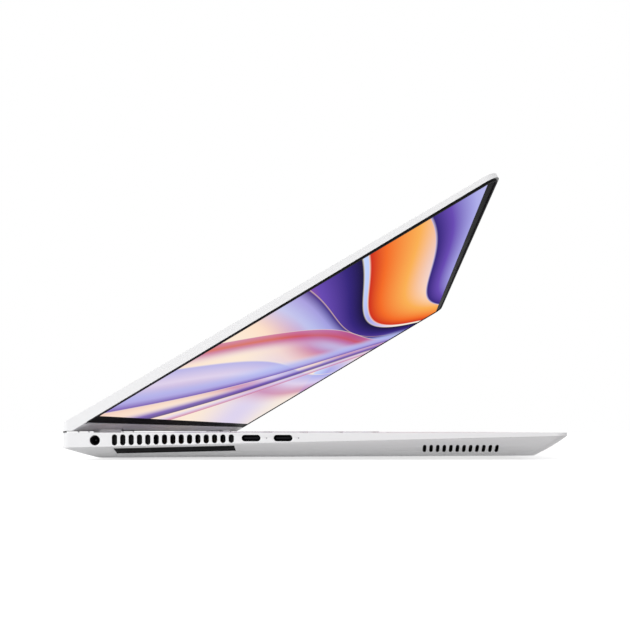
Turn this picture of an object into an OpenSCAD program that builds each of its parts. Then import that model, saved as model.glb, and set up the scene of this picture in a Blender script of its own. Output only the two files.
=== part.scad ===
// Laptop computer with a hinged display lid. All lengths are in millimetres.
// X runs to the user's right, Y to the back and Z up. The origin is on the table, under the middle of the base.

/* [Base] */
// Thickness of the base at its back edge
rear_t = 12.2; // [12:0.1:14]
// Thickness of the base at its front edge
front_t = 11.05; // [10.8:0.05:12]
// Height of the side band at the back
band_rear = 7.2; // [6.8:0.1:7.6]
// Height of the side band at the front
band_front = 1.55; // [1.4:0.05:2]
// Radius of the base's front corners, seen from above
plan_r = 7; // [5:0.5:12]
// Radius of the base's rear corners, seen from above
plan_rear_r = 4.7; // [4:0.1:7]
// Corner radius of the flat bottom panel
pan_r = 5; // [3:0.5:9]
// How far the bottom panel stands in from each side
inset_side = 10; // [8:0.5:11]
// How far the bottom panel stands in from the back
inset_rear = 12.4; // [10:0.2:14]
// How far the bottom panel stands in from the front
inset_front = 14; // [12:0.5:16]
// How far the chamfer bulges out of a straight slope, as a part of its inset
chamfer_bulge = 0.05; // [0:0.01:0.1]
// Thickness of the deck plate
deck_t = 1.2; // [1.1:0.05:1.4]
// Thickness of the side walls
side_t = 1.6; // [1.4:0.1:2]
// Thickness of the bottom cover
cover_t = 1.2; // [1:0.1:1.4]

/* [Lid] */
// How far the closed lid stops short of the base's front edge
lid_short = 0.2; // [0.1:0.1:1]
// Angle that the lid stands open at, from closed
lid_open = 30.8; // [0:0.1:130]
// Distance from the base's back edge to the hinge axis
axis_setback = 4.4; // [4.2:0.1:5]
// Height of the hinge axis over the deck
axis_rise = 3.3; // [3.2:0.05:3.6]
// Height of the lid's outer face over the axis, at the hinge
lid_rise_rear = 2.45; // [2.4:0.05:2.8]
// Height of the lid's outer face over the axis, at the free edge
lid_rise_tip = 0.32; // [0.2:0.02:0.8]
// Depth of the lid's side lip under the axis, at the hinge
lip_drop_rear = 2.9; // [2.85:0.05:3]
// Depth of the lid's side lip under the axis, at the free edge
lip_drop_tip = 2.19; // [2.1:0.02:2.3]
// Thickness of the lid's outer skin
lid_skin = 0.8; // [0.6:0.05:0.9]
// Width of the lid's side rim
lid_rim = 1.2; // [1:0.1:1.5]
// Corner radius at the lid's free edge
lid_tip_r = 9; // [6:0.5:12]
// Corner radius at the lid's hinge edge
lid_tail_corner_r = 3.2; // [3.2:0.1:3.4]
// Reach of the lid's tail behind the axis
lid_tail = 3.4; // [3:0.1:3.5]
// Radius about the axis that the tail keeps within
lid_tail_r = 4.1; // [4:0.05:4.2]
// Depth of the tail's flat underside below the axis
tail_under = 2.5; // [2.4:0.05:2.6]
// Lid angle at which the tail's faces are upright and level
tail_angle = 30.8; // [28:0.1:34]

/* [Screen] */
// Width of the lit area
screen_w = 344.68; // [309:0.01:360]
// Height of the lit area
screen_h = 215.42; // [193:0.01:226]
// Distance from the lit area to the lid's sides
screen_side = 5.16; // [4.6:0.02:8]
// Distance from the lit area to the lid's free edge
screen_margin = 7; // [6.8:0.1:8]
// Depth of the screen's face under the axis
screen_drop = 2.43; // [2.4:0.01:2.5]
// Distance from the hinge axis to the lit area
screen_chin = 12.98; // [12:0.02:18]
// Thickness of the display panel
panel_t = 1.6; // [1.2:0.1:1.6]
// Thickness of the bezel
bezel_t = 0.9; // [0.7:0.05:0.9]
// Distance from the axis to the bezel's lower edge
chin_len = 6.9; // [6.5:0.1:8]
// Width of the soft gasket round the screen
gasket_w = 1; // [0.8:0.1:1.2]
// How far the gasket stands proud of the screen
gasket_proud = 0.6; // [0.3:0.05:0.65]
// Radius of the camera window
camera_r = 1.3; // [1:0.1:1.6]

/* [Hinge] */
// Distance from the lid's side to the hinge knuckle
knuckle_inset = 31; // [28:1:40]
// Width of the hinge knuckle
knuckle_w = 28.8; // [24:0.2:34]
// Radius of the hinge knuckle
knuckle_r = 2.35; // [2.2:0.05:2.4]
// Radius of the hinge pin
pin_r = 1.1; // [1:0.05:1.2]
// Width of the hinge leaf's own knuckle
leaf_w = 24; // [18:1:28]
// Length of the hinge leaf's arm inside the lid
leaf_arm = 56; // [40:1:60]
// Thickness of the hinge leaf's arm
leaf_t = 0.8; // [0.6:0.05:0.8]
// Radius of the trough in the deck that the lid's tail swings through
trough_r = 4.3; // [4.25:0.01:4.4]
// Wall left at each end of the trough
trough_end = 0.6; // [0.5:0.05:0.6]

/* [Keyboard] */
// Spacing of the keys across
key_pitch = 19.05; // [18:0.05:19.05]
// Spacing of the key rows
row_pitch = 18.6; // [17.5:0.1:18.6]
// Spacing of the half-height function row
function_pitch = 14; // [12:0.5:14]
// Gap between keycaps
key_gap = 3; // [2.5:0.1:4]
// Corner radius of a keycap
key_r = 1.6; // [0.8:0.1:2.5]
// Thickness of a keycap
key_t = 1.5; // [1.3:0.1:1.55]
// Height of the keycaps over the deck
key_proud = 0.45; // [0.3:0.05:0.5]
// Travel of a key
key_travel = 1.2; // [0.8:0.1:1.2]
// Distance from the base's back edge to the keyboard
keyboard_back = 41; // [39:0.5:44]
// Margin of the key frame round the keys
frame_margin = 1.6; // [1.2:0.1:2.5]

/* [Touchpad] */
// Width of the touchpad
pad_w = 150; // [120:1:160]
// Distance from the base's front edge to the touchpad
pad_front = 8.9; // [7:0.1:16]
// Gap from the key frame to the touchpad
pad_gap = 5; // [4:0.5:6]
// Thickness of the touchpad
pad_t = 1.7; // [1.5:0.1:1.8]
// Radius of the touchpad's lower back edge, which it tilts on
pad_edge_r = 1.2; // [0.8:0.1:1.4]

/* [Vents] */
// Number of vent slots on the left side
vent_count = 15; // [11:1:15]
// Number of vent slots on the right side
right_vent_count = 9; // [7:1:9]
// Spacing of the vent slots
vent_pitch = 3.915; // [3.6:0.005:4]
// Width of a vent slot
vent_w = 2.5; // [2:0.1:2.7]
// Distance from the base's back edge to the rearmost vent slot
vent_back = 25.94; // [25:0.02:28]
// Distance from the deck's face down to the top of a vent slot
vent_top = 0.8; // [0.7:0.05:1.1]
// Height of band left under each vent slot
vent_land = 0.52; // [0.4:0.02:0.8]
// Distance from the crease down to the dark insert in the chamfer
insert_drop = 0.85; // [0.7:0.05:1.2]
// Height of the dark insert in the chamfer
insert_h = 2.44; // [2:0.02:2.6]
// Number of speaker slots on each side
speaker_count = 12; // [8:1:12]
// Spacing of the speaker slots
speaker_pitch = 3.136; // [2.9:0.002:3.4]
// Width of a speaker slot
speaker_w = 1.7; // [1.2:0.1:2]
// Height of a speaker slot
speaker_h = 3.5; // [3:0.1:3.6]
// Distance from the deck's face down to the speaker slots
speaker_top = 5.8; // [5.6:0.1:6]
// Distance from the base's front edge to the foremost speaker slot
speaker_front = 33.8; // [30:0.1:38]

/* [Ports] */
// Diameter of the power jack's mouth
jack_d = 4.85; // [4.4:0.05:5]
// Distance from the base's back edge to the power jack
jack_back = 16.7; // [15.5:0.1:18]
// Distance from the deck's face down to the power jack's axis
jack_drop = 3.6; // [3.5:0.1:3.8]
// Inside width of a USB-C socket
usb_c_w = 8.34; // [8.3:0.01:8.5]
// Inside height of a USB-C socket
usb_c_h = 2.56; // [2.5:0.01:2.6]
// Distance from the deck's face down to the USB-C sockets' axis
usb_c_drop = 2.55; // [2.5:0.05:2.6]
// Distance from the foremost vent slot to the rear USB-C socket
usb_c_gap = 9.3; // [8:0.1:11]
// Spacing of the two USB-C sockets
usb_c_pitch = 15; // [14:0.1:16]
// Distance from a USB-C socket forward to its pinhole light
light_offset = 7.3; // [6.8:0.1:7.6]
// Radius of a pinhole light
light_r = 0.3; // [0.25:0.05:0.4]
// Inside width of the USB-A socket
usb_a_w = 12.5; // [12.2:0.1:12.8]
// Inside height of the USB-A socket
usb_a_h = 5.12; // [5:0.02:5.2]
// Distance from the base's back edge to the USB-A socket
usb_a_back = 34.5; // [33:0.5:36]
// Inside width of the HDMI socket
hdmi_w = 14; // [13.8:0.1:14.2]
// Inside height of the HDMI socket
hdmi_h = 4.55; // [4.4:0.05:4.6]
// Distance from the base's back edge to the HDMI socket
hdmi_back = 16.5; // [15:0.5:17]
// Radius of the audio jack's bore
audio_r = 1.8; // [1.77:0.01:1.85]
// Length of the audio jack's bore
audio_len = 14; // [12:1:16]
// Distance from the foremost vent slot to the audio jack
audio_gap = 10.25; // [8:0.25:14]
// Thickness of a socket's metal shell
shell_t = 0.2; // [0.15:0.05:0.25]

/* [Cooling] */
// Radius of the fan rotors
rotor_r = 24; // [20:0.5:25]
// Radius of the rotor hubs
hub_r = 11; // [9:0.5:12]
// Number of blades on a rotor
blade_count = 31; // [21:1:37]
// Thickness of a fan blade
blade_t = 0.7; // [0.5:0.1:0.8]
// Radius of the fan's fixed post
post_r = 1.5; // [1.2:0.1:2]
// Distance from the base's side to a fan's axis
fan_side = 49.5; // [47:0.5:52]
// Thickness of the fan housing's wall
fan_wall = 0.6; // [0.5:0.1:0.8]
// Spacing of the cooling fins
fin_pitch = 1.5; // [1.3:0.1:2]
// Thickness of a cooling fin
fin_t = 0.3; // [0.25:0.05:0.4]
// Width of a heat pipe
pipe_w = 8; // [6:0.5:9]
// Thickness of a flattened heat pipe
pipe_t = 1.6; // [1.4:0.1:1.8]
// Width of an air inlet slot in the bottom cover
inlet_w = 2.2; // [1.6:0.1:2.4]
// Length of the middle air inlet slot
inlet_len = 44; // [34:1:46]
// Spacing of the air inlet slots
inlet_pitch = 4.6; // [4.2:0.1:5]
// Number of air inlet slots under each fan
inlet_count = 9; // [5:2:9]

/* [Battery and boards] */
// Width of the battery
battery_w = 236; // [180:1:265]
// Depth of the battery
battery_d = 66; // [50:1:73]
// Distance from the base's front edge to the battery
battery_front = 20; // [18:1:26]
// Distance from the battery to the speakers
speaker_gap = 10.5; // [4:0.5:14]
// Number of battery cells side by side
battery_cells = 4; // [3:1:6]
// Depth of the main circuit board
board_d = 84; // [70:1:88]
// Distance from the base's back edge to the main circuit board
board_back = 18; // [17:0.5:24]
// Thickness of the circuit boards
board_t = 0.8; // [0.6:0.1:1.2]
// Length of the storage card
ssd_len = 80; // [60:1:80]

/* [Feet and screws] */
// Height of the rear foot
foot_h = 1; // [0.9:0.1:1.5]
// Length of the rear foot
rear_foot_len = 262; // [200:1:270]
// Length of the front foot
front_foot_len = 180; // [120:1:200]
// Width of both feet
foot_w = 8; // [6:0.5:10]
// Depth that a foot is let into the bottom cover
foot_seat = 0.4; // [0.3:0.05:0.5]
// Radius of a screw head
screw_head_r = 2; // [1.8:0.1:2.2]
// Radius of a screw's shank
screw_r = 0.8; // [0.7:0.05:0.9]

/* [Fits] */
// Gap between pieces that are fitted together
seat = 0.05; // [0.03:0.01:0.08]
// Gap round a moving key, button or pad
slack = 0.3; // [0.2:0.05:0.4]
// Radial gap of a turning pin
running = 0.05; // [0.03:0.01:0.08]
// Air left over and under the inner parts
air = 0.3; // [0.2:0.05:0.4]

/* [Hidden] */

$fn = 48;
past = 1;
deck_z = foot_h + rear_t;
lid_len = screen_chin + screen_h + screen_margin;
body_w = screen_w + 2 * screen_side;
body_d = lid_len + axis_setback + lid_short;
half_w = body_w / 2;
half_d = body_d / 2;
axis_y = half_d - axis_setback;
axis_z = deck_z + axis_rise;
vent_start = half_d - vent_back - (vent_count - 1) * vent_pitch;
speaker_start = half_d - speaker_front - (speaker_count - 1) * speaker_pitch;
jack_y = half_d - jack_back;
usb_c_y = vent_start - usb_c_gap;
usb_a_y = half_d - usb_a_back;
hdmi_y = half_d - hdmi_back;
audio_y = vent_start - audio_gap;
tray_depth = 1.9;
tray_floor_t = 0.6;
tray_under = deck_z - deck_t - tray_depth;
loft_levels = 6;
corner_steps = 6;

// Heights of the crease line, of the bottom panel's two faces and of the lid's two faces
function mix(a, b, t) = a + (b - a) * t;
function band_z(y) = deck_z - mix(band_front, band_rear, (y + half_d) / body_d);
function under_z(y) = deck_z - mix(front_t, rear_t, (y + half_d) / body_d);
function floor_z(y) = under_z(y) + cover_t;
function out_n(along) = mix(lid_rise_rear, lid_rise_tip, along / lid_len);
function lip_n(along) = -mix(lip_drop_rear, lip_drop_tip, along / lid_len);

// One level of the chamfered pan: t runs from the crease at 0 to the bottom panel at 1
function slope_share(t) = t - 4 * chamfer_bulge * t * (1 - t);
function pan_height(y, t, lift) = mix(band_z(y), under_z(y) + lift, t);
function pan_ring(t, wall, lift) =
    let (share = slope_share(t), w = half_w - inset_side * share - wall)
    let (y_rear = half_d - inset_rear * share - wall, y_front = -half_d + inset_front * share + wall)
    [for (k = [0:3]) for (i = [0:corner_steps])
        let (a = 90 * (k + i / corner_steps), r = max(mix(k < 2 ? plan_rear_r : plan_r, pan_r, t) - wall, 1))
        let (x = (k == 0 || k == 3 ? 1 : -1) * (w - r) + r * cos(a))
        let (y = (k < 2 ? y_rear - r : y_front + r) + r * sin(a))
        [x, y, pan_height(y, t, lift)]];
function raised(ring, by) = [for (p = ring) [p[0], p[1], p[2] + by]];
function sum_to(list, n) = n <= 0 ? 0 : list[n - 1] + sum_to(list, n - 1);

// A closed solid through rings of equally many points, from the lowest ring to the highest
module loft(rings) {
    n = len(rings[0]);
    last = len(rings) - 1;
    points = [for (ring = rings) for (p = ring) p];
    walls = [for (j = [0:last - 1]) for (i = [0:n - 1])
        let (k = (i + 1) % n)
        [(j + 1) * n + i, (j + 1) * n + k, j * n + k, j * n + i]];
    bottom = [for (i = [0:n - 1]) i];
    top = [for (i = [n - 1:-1:0]) last * n + i];
    polyhedron(points = points, faces = concat([bottom, top], walls), convexity = 4);
}

// A profile drawn in Y and Z, run along X from x0 to x1
module along_x(x0, x1) {
    translate([x0, 0, 0]) rotate([90, 0, 90]) linear_extrude(x1 - x0) children();
}

// A round bar along X
module bar_x(x0, x1, r, y = 0, z = 0) {
    translate([x0, y, z]) rotate([0, 90, 0]) cylinder(r = r, h = x1 - x0);
}

// A rectangle with round corners, centred
module rounded(w, d, r) {
    corner = [for (k = [0:3]) for (i = [0:4])
        let (a = 90 * k + 22.5 * i)
        [(k == 0 || k == 3 ? 1 : -1) * (w / 2 - r) + r * cos(a), (k < 2 ? 1 : -1) * (d / 2 - r) + r * sin(a)]];
    polygon(corner);
}

// An upright pill: a slot of width w between two heights, drawn in Y and Z
module pill(w, z0, z1) {
    union() {
        translate([-w / 2, z0 + w / 2]) square([w, z1 - z0 - w]);
        translate([0, z0 + w / 2]) circle(d = w);
        translate([0, z1 - w / 2]) circle(d = w);
    }
}

// A level pill: a slot of width w and height h, centred, drawn in Y and Z
module level_pill(w, h) {
    union() {
        square([w - h, h], center = true);
        translate([-(w - h) / 2, 0]) circle(d = h);
        translate([(w - h) / 2, 0]) circle(d = h);
    }
}

module left_side() {
    children();
}

module right_side() {
    mirror([1, 0, 0]) children();
}

module both_sides() {
    left_side() children();
    right_side() children();
}

// ---------------------------------------------------------------- base shells

// The solid block of the deck and side band, above a slanted crease
module deck_block(wall, top) {
    intersection() {
        translate([0, 0, deck_z - band_rear - past])
            linear_extrude(top - deck_z + band_rear + past)
                plan_outline(wall);
        along_x(-half_w, half_w)
            polygon([[-half_d, band_z(-half_d) + seat], [half_d, band_z(half_d) + seat],
                     [half_d, top], [-half_d, top]]);
    }
}

// The base's outline from above, drawn in by a wall
module plan_outline(wall) {
    w = half_w - wall;
    d = half_d - wall;
    r = plan_r - wall;
    rear = plan_rear_r - wall;
    union() {
        translate([-w, -d + r]) square([2 * w, 2 * d - r - rear]);
        translate([-w + r, -d]) square([2 * w - 2 * r, r + past]);
        translate([-w + rear, d - rear - past]) square([2 * w - 2 * rear, rear + past]);
        for (s = [-1, 1]) {
            translate([s * (w - r), -d + r]) circle(r = r);
            translate([s * (w - rear), d - rear]) circle(r = rear);
        }
    }
}

module vent_slots(count) {
    for (i = [0:count - 1]) {
        y = vent_start + i * vent_pitch;
        translate([0, y, 0])
            along_x(-half_w - past, -half_w + 3 * side_t)
                pill(vent_w, band_z(y) + vent_land, deck_z - vent_top);
    }
}

// The screws of one half of the bottom cover, from the back to the front
screw_spots = [[half_w - 23, half_d - 15.5], [50, half_d - 15.5], [half_w - 20, 3], [half_w - 45.5, -half_d + 19]];
module screw_places() {
    for (s = [-1, 1])
        for (spot = screw_spots)
            translate([s * spot[0], spot[1], under_z(spot[1])]) children();
}

boss_r = screw_head_r + 0.7;
screw_recess_h = 0.6;
screw_len = 5;
screw_hole_h = screw_recess_h + screw_len + 0.6;

module top_case() {
    color("whitesmoke")
    difference() {
        union() {
            difference() {
                deck_block(0, deck_z);
                translate([0, 0, -seat]) deck_block(side_t, deck_z - deck_t + seat);
                along_x(-half_w + side_t, half_w - side_t)
                    polygon([[-half_d + 3 * side_t, 0], [half_d - side_t, 0],
                             [half_d - side_t, deck_z - deck_t], [-half_d + 3 * side_t, deck_z - deck_t]]);
            }
            trough_rib();
            screw_bosses();
        }
        trough();
        keyboard_opening();
        touchpad_opening();
        left_side() vent_slots(vent_count);
        right_side() vent_slots(right_vent_count);
        left_port_holes();
        right_port_holes();
        both_sides() bracket_slot();
        screw_places() cylinder(r = screw_r + seat, h = screw_hole_h);
    }
}

module trough() {
    bar_x(-half_w + trough_end, half_w - trough_end, trough_r, axis_y, axis_z);
}

// The rib under the deck that makes up for the trough's depth
trough_rib_t = 1.2;
module trough_rib() {
    rib_front = axis_y - trough_r;
    along_x(-half_w + side_t - seat, half_w - side_t + seat)
        polygon([[rib_front, deck_z - deck_t - trough_rib_t], [half_d - side_t + seat, deck_z - deck_t - trough_rib_t],
                 [half_d - side_t + seat, deck_z - deck_t + seat], [rib_front, deck_z - deck_t + seat]]);
}

// The bosses from the deck down to the cover's inner face
module screw_bosses() {
    for (s = [-1, 1])
        for (spot = screw_spots) {
            low = floor_z(spot[1]) + seat;
            translate([s * spot[0], spot[1], low]) cylinder(r = boss_r, h = deck_z - deck_t + seat - low);
        }
}

module bottom_cover() {
    color("gainsboro")
    difference() {
        union() {
            difference() {
                pan_form(0);
                pan_hollow();
            }
            board_posts();
        }
        both_sides() speaker_slots();
        both_sides() insert_slit();
        both_sides() air_inlets();
        foot_seats();
        screw_places() screw_recess();
    }
}

pan_wall = 1.5;
module pan_hollow() {
    rings = [for (j = [loft_levels:-1:0]) pan_ring(j / loft_levels, pan_wall, cover_t)];
    loft(concat(rings, [raised(rings[loft_levels], past)]));
}

module speaker_slots() {
    for (i = [0:speaker_count - 1])
        translate([0, -speaker_start - i * speaker_pitch, deck_z - speaker_top - speaker_h])
            along_x(-half_w - past, -half_w + inset_side + 2)
                pill(speaker_w, 0, speaker_h);
}

// The dark insert's outline in Y and Z, parallel to the crease, grown by a gap
insert_y0 = vent_start - vent_w / 2 + 0.1;
insert_y1 = vent_start + (vent_count - 1) * vent_pitch + 1;
module insert_outline(gap) {
    polygon([[insert_y0 - gap, band_z(insert_y0) - insert_drop - insert_h - gap],
             [insert_y1 + gap, band_z(insert_y1) - insert_drop - insert_h - gap],
             [insert_y1 + gap, band_z(insert_y1) - insert_drop + gap],
             [insert_y0 - gap, band_z(insert_y0) - insert_drop + gap]]);
}

module insert_slit() {
    along_x(-half_w - past, -half_w + inset_side + 2) insert_outline(seat);
}

// The insert keeps to the chamfer's own slope, a little under its face, with grooves along it
insert_sink = 0.25;
insert_t = 1.2;
groove_count = 3;
groove_w = 0.24;
groove_depth = 0.4;
module chamfer_insert() {
    difference() {
        intersection() {
            along_x(-half_w, -half_w + inset_side + 2) insert_outline(0);
            difference() {
                pan_form(insert_sink);
                loft(concat([for (j = [loft_levels:-1:0]) pan_ring(j / loft_levels, insert_sink + insert_t, cover_t)],
                            [raised(pan_ring(0, insert_sink + insert_t, cover_t), past)]));
            }
        }
        difference() {
            along_x(-half_w, -half_w + inset_side + 2) insert_grooves();
            pan_form(insert_sink + groove_depth);
        }
    }
}

module pan_form(wall) {
    loft([for (j = [loft_levels:-1:0]) pan_ring(j / loft_levels, wall, 0)]);
}

module insert_grooves() {
    for (i = [1:groove_count]) {
        drop = insert_drop + insert_h * i / (groove_count + 1);
        polygon([[insert_y0 + 1, band_z(insert_y0 + 1) - drop - groove_w / 2],
                 [insert_y1 - 1, band_z(insert_y1 - 1) - drop - groove_w / 2],
                 [insert_y1 - 1, band_z(insert_y1 - 1) - drop + groove_w / 2],
                 [insert_y0 + 1, band_z(insert_y0 + 1) - drop + groove_w / 2]]);
    }
}

module left_chamfer_insert() {
    color([0.14, 0.14, 0.15]) left_side() chamfer_insert();
}

module right_chamfer_insert() {
    color([0.14, 0.14, 0.15]) right_side() chamfer_insert();
}

module air_inlets() {
    half = (inlet_count - 1) / 2;
    for (i = [-half:half]) {
        cut = inlet_len * sqrt(1 - pow(i / (half + 1.6), 2));
        translate([-fan_x + i * inlet_pitch, fan_y, 0])
            linear_extrude(floor_z(-half_d) + past)
                union() {
                    square([inlet_w, cut - inlet_w], center = true);
                    translate([0, (cut - inlet_w) / 2]) circle(d = inlet_w);
                    translate([0, -(cut - inlet_w) / 2]) circle(d = inlet_w);
                }
    }
}

rear_foot_y = half_d - inset_rear - 11;
front_foot_y = -half_d + inset_front + 9;

module foot_bar(length, gap) {
    linear_extrude(deck_z)
        union() {
            square([length - foot_w, foot_w + 2 * gap], center = true);
            for (s = [-1, 1])
                translate([s * (length - foot_w) / 2, 0]) circle(d = foot_w + 2 * gap);
        }
}

module foot_seats() {
    intersection() {
        union() {
            translate([0, rear_foot_y, 0]) foot_bar(rear_foot_len, seat);
            translate([0, front_foot_y, 0]) foot_bar(front_foot_len, seat);
        }
        along_x(-half_w, half_w)
            polygon([[-half_d, 0], [half_d, 0], [half_d, under_z(half_d) + foot_seat],
                     [-half_d, under_z(-half_d) + foot_seat]]);
    }
}

module foot(y, length) {
    intersection() {
        translate([0, y, 0]) foot_bar(length, 0);
        along_x(-half_w, half_w)
            polygon([[y - foot_w, 0], [y + foot_w, 0], [y + foot_w, under_z(y + foot_w) + foot_seat - seat],
                     [y - foot_w, under_z(y - foot_w) + foot_seat - seat]]);
    }
}

module rear_foot() {
    color([0.2, 0.2, 0.21]) foot(rear_foot_y, rear_foot_len);
}

module front_foot() {
    color([0.2, 0.2, 0.21]) foot(front_foot_y, front_foot_len);
}

module screw_recess() {
    cylinder(r = screw_r + 0.1, h = cover_t + past);
    translate([0, 0, -past]) cylinder(r = screw_head_r + 0.15, h = past + screw_recess_h);
}

module cover_screws() {
    head_h = 0.5;
    color("silver")
    screw_places()
        translate([0, 0, screw_recess_h - seat - head_h])
            difference() {
                union() {
                    cylinder(r = screw_head_r, h = head_h);
                    cylinder(r = screw_r, h = screw_len);
                }
                translate([0, 0, -past]) cylinder(r = 0.7, h = past + 0.4, $fn = 6);
            }
}

mesh_t = 0.3;
module intake_mesh() {
    color([0.1, 0.1, 0.1])
    both_sides() {
        span = inlet_pitch * inlet_count + 4;
        translate([-fan_x, fan_y, floor_z(fan_y - inlet_len / 2 - 2) + seat])
            linear_extrude(mesh_t) rounded(span, inlet_len + 4, 6);
    }
}

// ---------------------------------------------------------------- keyboard

kb_w = 15 * key_pitch;
kb_d = 5 * row_pitch + function_pitch;
frame_w = kb_w - key_gap + 2 * frame_margin;
frame_d = kb_d - key_gap + 2 * frame_margin;
kb_front_y = half_d - keyboard_back - kb_d;
kb_mid_y = kb_front_y + kb_d / 2;
frame_recess = 0.2;
key_bottom = deck_z + key_proud - key_t;

letter_rows = [[2.25, 1, 1, 1, 1, 1, 1, 1, 1, 1, 1, 2.75],
               [1.75, 1, 1, 1, 1, 1, 1, 1, 1, 1, 1, 1, 2.25],
               [1.5, 1, 1, 1, 1, 1, 1, 1, 1, 1, 1, 1, 1, 1.5],
               [1, 1, 1, 1, 1, 1, 1, 1, 1, 1, 1, 1, 1, 2]];
bottom_left = [1.25, 1, 1, 1.25];
space_units = 5.25;
bottom_right = [1.25, 1];
arrow_start = 12;
function_count = 14;

function row_y(row) = kb_front_y + (row + 0.5) * row_pitch;
function_y = kb_front_y + 5 * row_pitch + function_pitch / 2;

// One keycap outline: start and width in key units, middle and depth in millimetres
module key_outline(start, units, y, depth, grow = 0) {
    translate([-kb_w / 2 + (start + units / 2) * key_pitch, y])
        rounded(units * key_pitch - key_gap + 2 * grow, depth - key_gap + 2 * grow, key_r + grow);
}

module row_outline(list, start, y, depth, grow = 0) {
    for (i = [0:len(list) - 1])
        key_outline(start + sum_to(list, i), list[i], y, depth, grow);
}

module function_outline(grow = 0) {
    for (i = [0:function_count - 1])
        key_outline(i, 1, function_y, function_pitch, grow);
}

module power_outline(grow = 0) {
    key_outline(function_count, 1, function_y, function_pitch, grow);
}

module letter_outline(row, grow = 0) {
    row_outline(letter_rows[row - 1], 0, row_y(row), row_pitch, grow);
}

module bottom_outline(grow = 0) {
    row_outline(bottom_left, 0, row_y(0), row_pitch, grow);
    row_outline(bottom_right, sum_to(bottom_left, 4) + space_units, row_y(0), row_pitch, grow);
}

module space_outline(grow = 0) {
    key_outline(sum_to(bottom_left, 4), space_units, row_y(0), row_pitch, grow);
}

// The arrow block: three half-height keys low and one above the middle key
arrow_gap = 1.6;
module arrow_outline(grow = 0) {
    cap = (row_pitch - key_gap - arrow_gap) / 2;
    step = (cap + arrow_gap) / 2;
    for (i = [0:2])
        key_outline(arrow_start + i, 1, row_y(0) - step, cap + key_gap, grow);
    key_outline(arrow_start + 1, 1, row_y(0) + step, cap + key_gap, grow);
}

module keycaps() {
    color([0.93, 0.93, 0.94]) translate([0, 0, key_bottom]) linear_extrude(key_t) children();
}

module function_keys() {
    keycaps() function_outline();
}

module number_keys() {
    keycaps() letter_outline(4);
}

module upper_letter_keys() {
    keycaps() letter_outline(3);
}

module home_keys() {
    keycaps() letter_outline(2);
}

module lower_letter_keys() {
    keycaps() letter_outline(1);
}

module bottom_row_keys() {
    keycaps() bottom_outline();
}

module space_bar() {
    keycaps() space_outline();
}

module arrow_keys() {
    keycaps() arrow_outline();
}

module power_button() {
    color([0.8, 0.81, 0.83]) translate([0, 0, key_bottom]) linear_extrude(key_t) power_outline();
}

module key_wells() {
    function_outline(slack);
    power_outline(slack);
    for (row = [1:4]) letter_outline(row, slack);
    bottom_outline(slack);
    space_outline(slack);
    arrow_outline(slack);
}

module keyboard_frame() {
    color([0.9, 0.9, 0.91])
    translate([0, 0, deck_z - deck_t])
        linear_extrude(deck_t - frame_recess)
            difference() {
                translate([0, kb_mid_y]) rounded(frame_w, frame_d, key_r + frame_margin);
                key_wells();
            }
}

module keyboard_opening() {
    translate([0, kb_mid_y, deck_z - deck_t - past])
        linear_extrude(deck_t + 2 * past) rounded(frame_w + 2 * seat, frame_d + 2 * seat, key_r + frame_margin);
}

tray_lip = pad_gap / 2 - 0.1;
module keyboard_tray() {
    color("darkgray")
    difference() {
        translate([0, kb_mid_y, tray_under])
            linear_extrude(tray_depth - seat) rounded(frame_w + 2 * tray_lip, frame_d + 2 * tray_lip, 4);
        translate([0, kb_mid_y, tray_under + tray_floor_t])
            linear_extrude(tray_depth) rounded(frame_w - 2 * frame_margin + 1.2, frame_d - 2 * frame_margin + 1.2, 2);
    }
}

// ---------------------------------------------------------------- touchpad

pad_rear_y = kb_mid_y - frame_d / 2 - pad_gap;
pad_d = pad_rear_y + half_d - pad_front;
pad_mid_y = pad_rear_y - pad_d / 2;
pad_r = 3;
pad_recess = 0.1;

// A plate whose lower back edge is round, about the line that it tilts on
module touchpad() {
    low = deck_z - pad_recess - pad_t;
    color([0.88, 0.88, 0.89])
    difference() {
        translate([0, pad_mid_y, low]) linear_extrude(pad_t) rounded(pad_w, pad_d, pad_r);
        along_x(-pad_w / 2 - past, pad_w / 2 + past)
            difference() {
                translate([pad_rear_y - pad_edge_r, low - past]) square([pad_edge_r + past, pad_edge_r + past]);
                translate([pad_rear_y - pad_edge_r, low + pad_edge_r]) circle(r = pad_edge_r);
            }
    }
}

module touchpad_opening() {
    translate([0, pad_mid_y, deck_z - deck_t - past])
        linear_extrude(deck_t + 2 * past) rounded(pad_w + 2 * slack, pad_d + 2 * slack, pad_r + slack);
}

pad_tray_depth = 1.7;
pad_tray_floor_t = 0.5;
pad_tray_lip = pad_gap / 2 - slack - 0.1;
module touchpad_tray() {
    color("darkgray")
    difference() {
        translate([0, pad_mid_y, deck_z - deck_t - pad_tray_depth])
            linear_extrude(pad_tray_depth - seat)
                rounded(pad_w + 2 * slack + 2 * pad_tray_lip, pad_d + 2 * slack + 2 * pad_tray_lip, pad_r + pad_tray_lip);
        translate([0, pad_mid_y, deck_z - deck_t - pad_tray_depth + pad_tray_floor_t])
            linear_extrude(pad_tray_depth) rounded(pad_w + 2 * slack, pad_d + 2 * slack, pad_r + slack);
    }
}

// ---------------------------------------------------------------- ports

module left_port_holes() {
    bar_x(-half_w - past, -half_w + side_t + past, jack_d / 2, jack_y, deck_z - jack_drop);
    for (i = [0, 1]) {
        y = usb_c_y - i * usb_c_pitch;
        translate([0, y, deck_z - usb_c_drop])
            along_x(-half_w - past, -half_w + 12) level_pill(usb_c_w + 2 * shell_t + 2 * seat, usb_c_h + 2 * shell_t + 2 * seat);
        bar_x(-half_w - past, -half_w + side_t + 2.2, light_r + seat, y - light_offset, deck_z - usb_c_drop);
    }
    translate([-half_w + side_t - seat, jack_y - 5, deck_z - jack_drop - 5]) cube([11, 10, 5 + jack_drop - 0.6]);
}

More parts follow.
